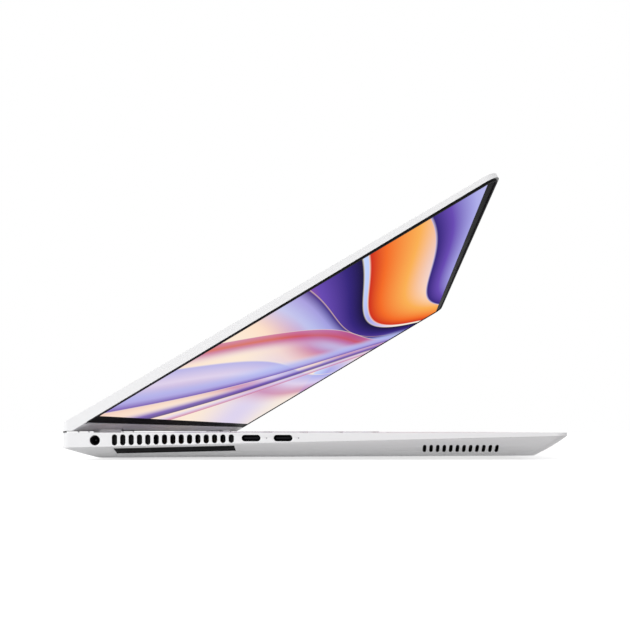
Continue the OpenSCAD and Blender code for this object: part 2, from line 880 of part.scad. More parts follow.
// A metal-shelled socket with a tongue, opening towards -X at the base's side
module usb_c_socket(y) {
    mouth = -half_w + 0.25;
    length = 8.5;
    outer_w = usb_c_w + 2 * shell_t;
    outer_h = usb_c_h + 2 * shell_t;
    translate([0, y, deck_z - usb_c_drop]) {
        color([0.25, 0.25, 0.26])
        difference() {
            along_x(mouth, mouth + length) level_pill(outer_w, outer_h);
            along_x(mouth - past, mouth + length - 0.8) level_pill(usb_c_w, usb_c_h);
        }
        color([0.1, 0.1, 0.1])
        along_x(mouth + 0.9, mouth + length - 0.4) square([6.7, 0.7], center = true);
    }
}

module usb_c_rear() {
    usb_c_socket(usb_c_y);
}

module usb_c_front() {
    usb_c_socket(usb_c_y - usb_c_pitch);
}

module port_lights() {
    color([0.75, 0.76, 0.78])
    for (i = [0, 1])
        bar_x(-half_w + 0.1, -half_w + side_t + 2, light_r, usb_c_y - i * usb_c_pitch - light_offset, deck_z - usb_c_drop);
}

module dc_jack() {
    color([0.1, 0.1, 0.1])
    translate([0, jack_y, deck_z - jack_drop]) {
        difference() {
            union() {
                bar_x(-half_w + 0.4, -half_w + side_t + 0.3, jack_d / 2 - seat);
                translate([-half_w + side_t, -4.5, -3.2]) cube([9.5, 9, 3.2 + jack_drop - 0.7]);
            }
            bar_x(-half_w - past, -half_w + side_t + 7, jack_d / 2 - 0.45);
        }
        bar_x(-half_w + 1.4, -half_w + side_t + 7.2, 0.45);
    }
}

module right_port_holes() {
    right_side() {
        translate([0, usb_a_y, socket_mid(usb_a_y)])
            along_x(-half_w - past, -half_w + usb_a_len + 1)
                rounded(usb_a_w + 2 * shell_t + 2 * seat, usb_a_h + 2 * shell_t + 2 * seat, 0.5);
        translate([0, hdmi_y, socket_mid(hdmi_y)])
            along_x(-half_w - past, -half_w + hdmi_len + 1) hdmi_profile(shell_t + seat);
        bar_x(-half_w - past, -half_w + audio_len + 1.4, audio_body_r + seat, audio_y, audio_z);
    }
}

usb_a_len = 14;
hdmi_len = 11;
function socket_mid(y) = (deck_z - 0.3 + band_z(y)) / 2 + 0.05;
audio_body_r = audio_r + 0.2;
audio_z = deck_z - 2.55;

module hdmi_profile(grow) {
    w = hdmi_w / 2 + grow;
    h = hdmi_h / 2 + grow;
    polygon([[-w, h], [-w, -h + 1.6], [-w + 1.2, -h + 0.6], [-w + 2, -h], [w - 2, -h], [w - 1.2, -h + 0.6],
             [w, -h + 1.6], [w, h]]);
}

module usb_a_port() {
    mouth = -half_w + 0.25;
    length = usb_a_len;
    right_side() translate([0, usb_a_y, socket_mid(usb_a_y)]) {
        color("silver")
        difference() {
            along_x(mouth, mouth + length) rounded(usb_a_w + 2 * shell_t, usb_a_h + 2 * shell_t, 0.5);
            along_x(mouth - past, mouth + length - 1) rounded(usb_a_w, usb_a_h, 0.4);
        }
        color([0.1, 0.1, 0.12])
        translate([mouth + 1.5, -usb_a_w / 2 + 0.6, 0.2]) cube([length - 2.2, usb_a_w - 1.2, 1.9]);
    }
}

module hdmi_port() {
    mouth = -half_w + 0.25;
    length = hdmi_len;
    right_side() translate([0, hdmi_y, socket_mid(hdmi_y)]) {
        color("silver")
        difference() {
            along_x(mouth, mouth + length) hdmi_profile(shell_t);
            along_x(mouth - past, mouth + length - 1) hdmi_profile(0);
        }
        color([0.1, 0.1, 0.12])
        translate([mouth + 1.2, -5.4, -0.4]) cube([length - 1.9, 10.8, 1.2]);
    }
}

module audio_jack() {
    color([0.12, 0.12, 0.13])
    right_side()
        difference() {
            bar_x(-half_w + 0.1, -half_w + audio_len + 1.2, audio_body_r, audio_y, audio_z);
            bar_x(-half_w - past, -half_w + 0.1 + audio_len, audio_r, audio_y, audio_z);
        }
}

screen_plate_t = 0.5;
blind_rear = 5;
// Dark plates right behind the blind vent slots: the rear five and the front one
module vent_screens() {
    color([0.13, 0.13, 0.14]) {
        y_first = vent_start + (vent_count - blind_rear - 0.5) * vent_pitch;
        y_last = vent_start + (vent_count - 0.5) * vent_pitch;
        vent_screen(y_first, min(y_last, jack_y - 5.4));
        vent_screen(vent_start - vent_pitch / 2 + 0.3, vent_start + vent_pitch / 2 - 0.3);
    }
}

module vent_screen(y0, y1) {
    x = -half_w + side_t + seat;
    translate([x, y0, band_z(y1) + 0.3])
        cube([screen_plate_t, y1 - y0, deck_z - deck_t - seat - band_z(y1) - 0.3]);
}

// ---------------------------------------------------------------- boards and battery

fan_x = half_w - fan_side;
board_low = floor_z(0) + 2.2;
board_w = 2 * (fan_x - rotor_r - 9);
board_y0 = half_d - board_back - board_d;

module motherboard() {
    color([0.1, 0.24, 0.2])
    translate([0, 0, board_low])
        linear_extrude(board_t)
            difference() {
                translate([-board_w / 2, board_y0]) square([board_w, board_d]);
                for (s = [-1, 1])
                    translate([s * fan_x, fan_y]) circle(r = rotor_r + 12);
                for (s = [-1, 1])
                    translate([s * screw_spots[1][0], screw_spots[1][1]]) circle(r = boss_r + 1);
            }
}

// Posts on the bottom cover that carry the main board
module board_posts() {
    for (s = [-1, 1])
        for (x = [18, board_w / 2 - 12])
            for (y = [board_y0 + 4, board_y0 + board_d - 22])
                translate([s * x, y, under_z(y) + cover_t / 2])
                    cylinder(r = 1.8, h = board_low - seat - under_z(y) - cover_t / 2);
}

module left_io_board() {
    color([0.1, 0.24, 0.2])
    translate([-half_w + 9.5, usb_c_y - usb_c_pitch - 7.5, deck_z - usb_c_drop - usb_c_h / 2 - shell_t - seat - board_t])
        cube([15, usb_c_pitch + 14.5, board_t]);
}

card_w = 22;
card_rise = 1;
card_y = board_y0 + 8;
card_low = board_low + board_t + card_rise;

// A storage card: its chips, its socket at one end and its screw post at the other
module ssd_card() {
    x0 = -8;
    chip_pitch = ssd_len / 3 - 4;
    color([0.08, 0.1, 0.09]) {
        translate([x0, card_y, card_low]) cube([ssd_len, card_w, board_t]);
        for (i = [0:2])
            translate([x0 + 6 + i * chip_pitch, card_y + 3, card_low + board_t]) cube([chip_pitch - 8, card_w - 6, 0.8]);
        translate([x0 - 4, card_y, board_low + board_t + seat]) cube([6, card_w, card_rise + board_t + 0.6]);
        translate([x0 + ssd_len - 3, card_y + card_w / 2, board_low + board_t + seat]) cylinder(r = 2.5, h = card_rise);
    }
}

// A radio card: its can, its socket and its screw post
module wifi_card() {
    x0 = -52;
    length = 30;
    color([0.08, 0.18, 0.12]) {
        translate([x0, card_y, card_low]) cube([length, card_w, board_t]);
        translate([x0 + 4, card_y + 3, card_low + board_t]) cube([16, card_w - 6, 0.7]);
        translate([x0 + length - 2, card_y, board_low + board_t + seat]) cube([5, card_w, card_rise + board_t + 0.6]);
        translate([x0 + 3, card_y + card_w / 2, board_low + board_t + seat]) cylinder(r = 2.5, h = card_rise);
    }
}

battery_rear_y = -half_d + battery_front + battery_d;
battery_gap = 2;
module battery_pack() {
    low = floor_z(battery_rear_y - battery_d) + air;
    height = deck_z - deck_t - pad_tray_depth - air - low;
    cell_w = (battery_w - battery_gap * (battery_cells + 1)) / battery_cells;
    color([0.12, 0.12, 0.13]) {
        difference() {
            translate([-battery_w / 2, battery_rear_y - battery_d, low]) cube([battery_w, battery_d, height]);
            for (i = [0:battery_cells - 1])
                translate([-battery_w / 2 + battery_gap + i * (cell_w + battery_gap),
                           battery_rear_y - battery_d + battery_gap, low + 0.6])
                    cube([cell_w, battery_d - 2 * battery_gap, height]);
        }
        for (i = [0:battery_cells - 1])
            translate([-battery_w / 2 + battery_gap + seat + i * (cell_w + battery_gap),
                       battery_rear_y - battery_d + battery_gap + seat, low + 0.6 + seat])
                cube([cell_w - 2 * seat, battery_d - 2 * battery_gap - 2 * seat, height - 0.9]);
    }
}

// A flat box behind the speaker slots, open towards them, with its cone in the top
module speaker_box() {
    length = speaker_count * speaker_pitch + 8;
    front_y = -speaker_start - length + 4;
    low = floor_z(front_y) + air;
    high = deck_z - deck_t - air;
    x = -half_w + inset_side + 5;
    width = half_w - inset_side - 5 - battery_w / 2 - speaker_gap;
    cone_r = min(width, length) / 2 - 4;
    skin = 1;
    difference() {
        translate([x, front_y, low]) cube([width, length, high - low]);
        translate([x - past, front_y + 3, low + skin]) cube([past + 3, length - 6, high - low - 2 * skin]);
        translate([x + width / 2, front_y + length / 2, high - 0.8]) cylinder(r = cone_r, h = past + 1);
    }
    translate([x + width / 2, front_y + length / 2, high - 0.8]) cylinder(r = cone_r - 1, h = 0.5);
}

module left_speaker() {
    color([0.1, 0.1, 0.11]) left_side() speaker_box();
}

module right_speaker() {
    color([0.1, 0.1, 0.11]) right_side() speaker_box();
}

// ---------------------------------------------------------------- cooling

fin_span = right_vent_count * vent_pitch + 0.4;
fin_y0 = vent_start + vent_pitch / 2;
fan_y = fin_y0 + fin_span / 2;
fan_low = floor_z(fan_y - rotor_r - 6) + mesh_t + 3 * seat;
fan_high = tray_under - pipe_t - 3 * seat;
outlet_x = half_w - 17.2;
scroll_r = rotor_r + 4;

module scroll_outline(wall) {
    union() {
        circle(r = scroll_r - wall);
        translate([-(outlet_x - fan_x), fin_y0 - fan_y + wall]) square([outlet_x - fan_x, fin_span - 2 * wall]);
    }
}

// Thickness of metal left over the post in a rotor's hub
rotor_cap_t = 0.6;

// A flat blower: a scroll open at the side, with air inlets in its floor and a fixed post
module fan_housing() {
    translate([-fan_x, fan_y, fan_low]) {
        height = fan_high - fan_low;
        difference() {
            linear_extrude(height) scroll_outline(0);
            translate([0, 0, fan_wall]) linear_extrude(height - 2 * fan_wall)
                union() {
                    scroll_outline(fan_wall);
                    translate([-(outlet_x - fan_x) - past, fin_y0 - fan_y + fan_wall])
                        square([2 * past, fin_span - 2 * fan_wall]);
                }
            for (a = [0:120:240])
                rotate([0, 0, a]) inlet_sector(height);
        }
        cylinder(r = post_r, h = height - fan_wall - air - rotor_cap_t - 0.2);
    }
}

// One of three openings in the floor of the blower
module inlet_sector(height) {
    translate([0, 0, -past])
        linear_extrude(fan_wall + 2 * past)
            intersection() {
                difference() {
                    circle(r = rotor_r - 6);
                    circle(r = hub_r + 0.5);
                }
                polygon([[4, 0], [40, -32], [40, 32]]);
            }
}

module left_fan_housing() {
    color([0.15, 0.15, 0.16]) left_side() fan_housing();
}

module right_fan_housing() {
    color([0.15, 0.15, 0.16]) right_side() fan_housing();
}

// One swept blade in plan: both faces follow a curve that leans back towards the tip
function blade_angle(share) = 38 * share * share;
function blade_point(share, side) =
    let (r = mix(hub_r - 0.6, rotor_r, share), a = blade_angle(share))
    [r * cos(a) - side * blade_t / 2 * sin(a + 20), r * sin(a) + side * blade_t / 2 * cos(a + 20)];
blade_steps = 5;

module blade_outline() {
    polygon(concat([for (i = [0:blade_steps]) blade_point(i / blade_steps, -1)],
                   [for (i = [blade_steps:-1:0]) blade_point(i / blade_steps, 1)]));
}

module fan_rotor() {
    low = fan_low + fan_wall + air;
    height = fan_high - fan_wall - air - low;
    translate([-fan_x, fan_y, low])
        difference() {
            union() {
                cylinder(r = hub_r, h = height);
                linear_extrude(height - 0.4)
                    for (i = [0:blade_count - 1])
                        rotate(i * 360 / blade_count) blade_outline();
            }
            translate([0, 0, -past]) cylinder(r = post_r + running, h = height - rotor_cap_t + past);
        }
}

module left_fan_rotor() {
    color([0.2, 0.2, 0.21]) left_side() fan_rotor();
}

module right_fan_rotor() {
    color([0.2, 0.2, 0.21]) right_side() fan_rotor();
}

// A comb of thin fins whose lower outer corner follows the chamfer
module fin_outline() {
    x_in = -outlet_x - seat - 0.2;
    x_out = -half_w + side_t + 2 * screen_plate_t;
    top = deck_z - deck_t - air;
    low = fan_low;
    y_low = fin_y0;
    notch_x = -pipe_x - pipe_w / 2 - 0.2;
    notch_low = pipe_low - 0.1;
    notch_high = pipe_low + pipe_t + 0.1;
    polygon([[x_in, low], [-half_w + inset_side + 2.8, low], [x_out, band_z(y_low) + 0.2], [x_out, top], [x_in, top],
             [x_in, notch_high], [notch_x, notch_high], [notch_x, notch_low], [x_in, notch_low]]);
}

module fin_stack() {
    spans = floor(fin_span / fin_pitch) - 1;
    plate_t = 0.3;
    for (i = [0:spans])
        translate([0, fin_y0 + 0.4 + i * fin_pitch + fin_t, 0])
            rotate([90, 0, 0]) linear_extrude(fin_t) fin_outline();
    translate([-half_w + side_t + 2 * screen_plate_t, fin_y0 + 0.4, deck_z - deck_t - air - plate_t])
        cube([half_w - side_t - 2 * screen_plate_t - outlet_x - seat - 0.2, spans * fin_pitch + fin_t, plate_t]);
    translate([-half_w + inset_side + 2.8, fin_y0 + 0.4, fan_low])
        cube([half_w - inset_side - 2.8 - outlet_x - seat - 0.2, spans * fin_pitch + fin_t, plate_t]);
}

module left_fin_stack() {
    color("peru") left_side() fin_stack();
}

module right_fin_stack() {
    color("peru") right_side() fin_stack();
}

pipe_low = fan_high + seat;
pipe_y = fin_y0 + fin_span - pipe_w / 2;
pipe_x = outlet_x + 0.8 + pipe_w / 2;

// One flat pipe, seen from above: across the board and the fans, and forward along the fins at both ends
module heat_pipes() {
    leg = fin_span - pipe_w / 2 - 2;
    color([0.72, 0.45, 0.3])
    translate([0, 0, pipe_low])
        linear_extrude(pipe_t)
            union() {
                translate([-pipe_x, pipe_y - pipe_w / 2]) square([2 * pipe_x, pipe_w]);
                for (s = [-1, 1]) {
                    translate([s * pipe_x, pipe_y]) circle(d = pipe_w);
                    translate([s * pipe_x, pipe_y - leg / 2]) square([pipe_w, leg], center = true);
                }
            }
}

// The copper block between the main chip and the pipe, on a wider foot
spreader_w = 96;
spreader_d = 34;
spreader_t = 1.2;
module heat_spreader() {
    low = board_low + board_t + seat;
    color([0.75, 0.55, 0.4])
    translate([0, pipe_y, low]) {
        linear_extrude(spreader_t) rounded(spreader_w, spreader_d, 3);
        linear_extrude(pipe_low - low - seat) rounded(spreader_w - 30, spreader_d - 12, 2);
    }
}

// ---------------------------------------------------------------- hinge, base side

knuckle_x0 = -half_w + knuckle_inset;
knuckle_x1 = knuckle_x0 + knuckle_w;
bracket_leg = 3.2;
bracket_t = 1.2;
bracket_top = deck_z - deck_t - trough_rib_t - seat;
bracket_front = axis_y - 26;

module bracket_slot() {
    gap = 0.15;
    translate([knuckle_x0 - gap, axis_y - bracket_leg / 2 - gap, bracket_top - past])
        cube([knuckle_w + 2 * gap, bracket_leg + 2 * gap, deck_z - bracket_top + 2 * past]);
}

module hinge_bracket() {
    difference() {
        union() {
            bar_x(knuckle_x0, knuckle_x1, knuckle_r, axis_y, axis_z);
            translate([knuckle_x0, axis_y - bracket_leg / 2, bracket_top - bracket_t])
                cube([knuckle_w, bracket_leg, axis_z - bracket_top + bracket_t]);
            translate([knuckle_x0, bracket_front, bracket_top - bracket_t])
                cube([knuckle_w, half_d - side_t - 0.4 - bracket_front, bracket_t]);
        }
        bar_x(knuckle_x0 - past, knuckle_x1 + past, pin_r + running, axis_y, axis_z);
        for (x = [6, knuckle_w - 6])
            for (y = [5, 15])
                translate([knuckle_x0 + x, bracket_front + y, bracket_top - bracket_t - past])
                    cylinder(r = 1.1, h = bracket_t + 2 * past);
    }
}

module left_hinge_bracket() {
    color("whitesmoke") left_side() hinge_bracket();
}

module right_hinge_bracket() {
    color("whitesmoke") right_side() hinge_bracket();
}

// ---------------------------------------------------------------- lid

// Places what is drawn with the hinge axis at the origin and the closed lid reaching along -Y
module on_lid() {
    translate([0, axis_y, axis_z]) rotate([-lid_open, 0, 0]) children();
}

// The lid's side profile in Y and Z: a thin wedge with a blunt tail round the axis
module lid_profile() {
    tail = 6;
    intersection() {
        polygon([[-lid_len, lip_n(lid_len)], [tail, lip_n(-tail)], [tail, out_n(-tail)], [-lid_len, out_n(lid_len)]]);
        union() {
            circle(r = lid_tail_r);
            translate([-lid_len - past, -tail]) square([lid_len + past, 2 * tail]);
        }
        rotate(tail_angle)
            translate([-2 * lid_len, -tail_under]) square([2 * lid_len + lid_tail_r + past, 2 * lid_len]);
    }
}

// The upright block that rounds the corners of the lid's tail
module tail_block() {
    r = lid_tail_corner_r;
    rotate([tail_angle, 0, 0]) translate([0, 0, -lid_len]) linear_extrude(2 * lid_len) {
        translate([-half_w, -2 * lid_len]) square([2 * half_w, 2 * lid_len + lid_tail - r]);
        translate([-half_w + r, -r]) square([2 * half_w - 2 * r, r + lid_tail]);
        for (s = [-1, 1])
            translate([s * (half_w - r), lid_tail - r]) circle(r = r);
    }
}

pocket_tail = 1.9;
leaf_r = min(lid_rise_rear - lid_skin, pocket_tail) - 0.1;
module lid_shell() {
    color("whitesmoke")
    on_lid()
        difference() {
            intersection() {
                along_x(-half_w, half_w) lid_profile();
                translate([0, 0, -10]) linear_extrude(20) lid_front_outline(0, lid_tail_r + past);
                tail_block();
            }
            lid_pocket();
            both_sides() knuckle_notch();
        }
}

module lid_pocket() {
    front = -lid_len + lid_rim;
    intersection() {
        along_x(-half_w + lid_rim, half_w - lid_rim)
            polygon([[front, -10], [pocket_tail, -10], [pocket_tail, out_n(-pocket_tail) - lid_skin],
                     [front, out_n(lid_len - lid_rim) - lid_skin]]);
        translate([0, 0, -20]) linear_extrude(40) lid_front_outline(lid_rim, 10);
    }
}

// The outline of what fills the lid, round at the free edge and square towards the hinge
module lid_front_outline(wall, y_end) {
    w = half_w - wall;
    r = lid_tip_r - wall;
    front = -lid_len + wall;
    union() {
        translate([-w, front + r]) square([2 * w, y_end - front - r]);
        translate([-w + r, front]) square([2 * w - 2 * r, r + past]);
        for (s = [-1, 1])
            translate([s * (w - r), front + r]) circle(r = r);
    }
}

knuckle_gap = 0.4;
notch_reach = knuckle_r + 0.4;
module knuckle_notch() {
    translate([knuckle_x0 - knuckle_gap, -notch_reach, -10])
        cube([knuckle_w + 2 * knuckle_gap, notch_reach + 10, 20]);
}

// The strip that closes the lid's inner face between the bezel and the tail
cover_skin = 0.75;
module hinge_cover() {
    color([0.86, 0.86, 0.87])
    on_lid()
        difference() {
            along_x(-half_w + lid_rim + seat, half_w - lid_rim - seat)
                difference() {
                    intersection() {
                        polygon([[-chin_len + seat, lip_n(chin_len)], [pocket_tail - seat, lip_n(-pocket_tail)],
                                 [pocket_tail - seat, -1.1], [-0.4, -2.1], [-chin_len + seat, -2.1]]);
                        rotate(tail_angle)
                            translate([-2 * lid_len, -tail_under]) square([2 * lid_len + lid_tail, 2 * lid_len]);
                    }
                    circle(r = leaf_r + 0.06);
                }
            both_sides() knuckle_notch();
            both_sides() leaf_notch();
        }
}

leaf_x0 = knuckle_x1 + 0.4;
leaf_x1 = leaf_x0 + leaf_w;
module leaf_notch() {
    translate([knuckle_x1 - past, -1, -10]) cube([leaf_w + 1.4 + past, 10, 20]);
}

module hinge_leaf() {
    difference() {
        union() {
            bar_x(leaf_x0, leaf_x1, leaf_r);
            translate([leaf_x0, -leaf_arm, -leaf_t / 2]) linear_extrude(leaf_t)
                polygon([[0, 2], [2, 0], [leaf_w - 6, 0], [leaf_w - 4, 2], [leaf_w - 4, leaf_arm - 9],
                         [leaf_w, leaf_arm - 5], [leaf_w, leaf_arm], [0, leaf_arm]]);
        }
        bar_x(leaf_x0 - past, leaf_x1 + past, pin_r + 0.02);
        for (y = [8, 24, 40])
            translate([leaf_x0 + 9, -leaf_arm + y - 2, -past]) cylinder(r = 1.2, h = 2 * past);
    }
}

module left_hinge_leaf() {
    color([0.3, 0.3, 0.32]) on_lid() left_side() hinge_leaf();
}

module right_hinge_leaf() {
    color([0.3, 0.3, 0.32]) on_lid() right_side() hinge_leaf();
}

module hinge_pin() {
    bar_x(knuckle_x0 + 0.3, leaf_x1 - 0.5, pin_r);
}

module left_hinge_pin() {
    color("silver") on_lid() left_side() hinge_pin();
}

module right_hinge_pin() {
    color("silver") on_lid() right_side() hinge_pin();
}

// ---------------------------------------------------------------- screen

module screen_area(grow) {
    translate([-screen_w / 2 - grow, -screen_chin - screen_h - grow])
        square([screen_w + 2 * grow, screen_h + 2 * grow]);
}

panel_flange = 0.6;
module display_panel() {
    color([0.55, 0.4, 0.7])
    on_lid() {
        translate([0, 0, -screen_drop]) linear_extrude(bezel_t + seat) screen_area(-seat);
        translate([0, 0, -screen_drop + bezel_t + seat]) linear_extrude(panel_t - bezel_t - seat) screen_area(panel_flange);
    }
}

module bezel_blank(wall, y_end) {
    intersection() {
        lid_front_outline(wall, y_end);
        translate([-half_w, -lid_len]) square([body_w, lid_len - chin_len]);
    }
}

camera_y = -lid_len + (screen_margin + lid_rim + gasket_w) / 2;
module screen_bezel() {
    color([0.05, 0.05, 0.06])
    on_lid()
        translate([0, 0, -screen_drop])
            difference() {
                linear_extrude(bezel_t) bezel_blank(lid_rim + gasket_w + seat, 0);
                translate([0, 0, -past]) linear_extrude(bezel_t + 2 * past) screen_area(0);
                translate([0, camera_y, -past]) cylinder(r = camera_r, h = bezel_t + 2 * past);
            }
}

module lid_gasket() {
    color([0.07, 0.07, 0.08])
    on_lid()
        translate([0, 0, -screen_drop - gasket_proud])
            linear_extrude(gasket_proud + bezel_t)
                difference() {
                    bezel_blank(lid_rim + seat, 0);
                    lid_front_outline(lid_rim + gasket_w, 1);
                }
}

module webcam() {
    color([0.1, 0.1, 0.14])
    on_lid() {
        translate([-13, camera_y - 1.5, -screen_drop + bezel_t + seat]) cube([26, 3, 0.5]);
        translate([0, camera_y, -screen_drop + 0.15]) cylinder(r = camera_r - 0.1, h = bezel_t);
    }
}

module display_board() {
    color([0.1, 0.24, 0.2])
    on_lid()
        translate([leaf_x1 + 1.5, -screen_chin + 1.2, -0.6])
            cube([-2 * (leaf_x1 + 1.5), screen_chin - 4.4, board_t]);
}

cable_w = 18;
cable_len = 20;
module display_cable() {
    color([0.1, 0.1, 0.1])
    on_lid()
        translate([-cable_w / 2, -screen_chin - cable_len, 0.3])
            cube([cable_w, cable_len + screen_chin - 2.6, 0.3]);
}

antenna_len = 42;
antenna_w = 8;
antenna_apart = 44;
antenna_front = 10.5;
module antennas() {
    color([0.2, 0.2, 0.2])
    on_lid()
        both_sides()
            translate([-antenna_apart / 2 - antenna_len, -antenna_front, out_n(antenna_front) - lid_skin - seat - 0.4])
                cube([antenna_len, antenna_w, 0.4]);
}

magnet_len = 18;
magnet_w = 2.8;
magnet_side = 57.5;
module lid_magnets() {
    color("silver")
    on_lid()
        both_sides()
            translate([-half_w + magnet_side, camera_y - magnet_w / 2, -screen_drop + bezel_t + seat])
                cube([magnet_len, magnet_w, 0.7]);
}

top_case();
bottom_cover();
left_chamfer_insert();
right_chamfer_insert();
vent_screens();
dc_jack();
usb_c_rear();
usb_c_front();
port_lights();
usb_a_port();
hdmi_port();
audio_jack();
left_hinge_bracket();
right_hinge_bracket();
keyboard_frame();
keyboard_tray();
touchpad_tray();
motherboard();
left_io_board();
ssd_card();
wifi_card();
battery_pack();
left_speaker();
right_speaker();
left_fan_housing();
right_fan_housing();
left_fin_stack();
right_fin_stack();
heat_pipes();
heat_spreader();
intake_mesh();
rear_foot();
front_foot();
cover_screws();
function_keys();
number_keys();
upper_letter_keys();
home_keys();
lower_letter_keys();
bottom_row_keys();
arrow_keys();
space_bar();
power_button();
touchpad();
left_fan_rotor();
right_fan_rotor();
lid_shell();
lid_gasket();
screen_bezel();
display_panel();
hinge_cover();
webcam();
left_hinge_leaf();
right_hinge_leaf();
left_hinge_pin();
right_hinge_pin();
display_board();
display_cable();
antennas();
lid_magnets();
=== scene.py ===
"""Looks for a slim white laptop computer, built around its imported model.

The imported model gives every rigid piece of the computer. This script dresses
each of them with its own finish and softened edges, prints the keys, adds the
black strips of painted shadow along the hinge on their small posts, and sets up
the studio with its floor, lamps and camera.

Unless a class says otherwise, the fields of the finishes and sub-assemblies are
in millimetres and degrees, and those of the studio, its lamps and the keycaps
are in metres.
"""

import functools
import logging
import math
from dataclasses import dataclass, field
from enum import Enum

import bmesh
import bpy
from mathutils import Matrix, Vector


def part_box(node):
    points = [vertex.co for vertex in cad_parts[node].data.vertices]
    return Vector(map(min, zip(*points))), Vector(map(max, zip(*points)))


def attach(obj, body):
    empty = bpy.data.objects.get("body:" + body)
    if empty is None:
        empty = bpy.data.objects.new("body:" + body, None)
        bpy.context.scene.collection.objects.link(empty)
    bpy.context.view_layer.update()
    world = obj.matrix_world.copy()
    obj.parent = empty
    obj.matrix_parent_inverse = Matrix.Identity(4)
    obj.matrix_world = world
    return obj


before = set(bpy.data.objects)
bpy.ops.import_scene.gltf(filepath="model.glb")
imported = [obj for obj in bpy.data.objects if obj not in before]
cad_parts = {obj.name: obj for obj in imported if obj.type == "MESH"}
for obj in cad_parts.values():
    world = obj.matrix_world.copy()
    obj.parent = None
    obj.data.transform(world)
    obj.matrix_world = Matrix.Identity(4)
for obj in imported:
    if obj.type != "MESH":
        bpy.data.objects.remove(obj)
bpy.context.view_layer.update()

Colour = tuple[float, float, float, float]
Point = tuple[float, float, float]
Point2 = tuple[float, float]
Stops = tuple[tuple[float, Colour], ...]
Material = bpy.types.Material
Sheet = bmesh.types.BMesh
Socket = bpy.types.NodeSocket

LOG = logging.getLogger("laptop")
MM = 0.001
WELD = 0.002 * MM
LID_TILT = 30.8
BLACK: Colour = (0.0, 0.0, 0.0, 1.0)
WHITE: Colour = (1.0, 1.0, 1.0, 1.0)
# Near-black painted shade for the walls of slots, sockets and hollows.
RECESS_SHADE: Colour = (0.004, 0.004, 0.004, 1.0)
# Near-black painted shade for the underside of the lid's rim.
RIM_SHADE: Colour = (0.008, 0.008, 0.009, 1.0)
DEEP_BLACK: Colour = (0.002, 0.002, 0.002, 1.0)


def srgb(red: int, green: int, blue: int) -> Colour:
    """Turns a screen colour into the linear colour that a shader takes.

    Args:
        red: Red from 0 to 255.
        green: Green from 0 to 255.
        blue: Blue from 0 to 255.

    Returns:
        The linear colour with full alpha.
    """

    def channel(value: int) -> float:
        """Returns one channel as linear light, by the usual curve of screens."""
        share = value / 255
        return share / 12.92 if share <= 0.04045 else ((share + 0.055) / 1.055) ** 2.4

    return (channel(red), channel(green), channel(blue), 1.0)


def scaled(colour: Colour, factor: float) -> Colour:
    """Returns a colour made darker, or lighter up to white."""
    return tuple(min(1.0, factor * part) for part in colour[:3]) + (1.0,)


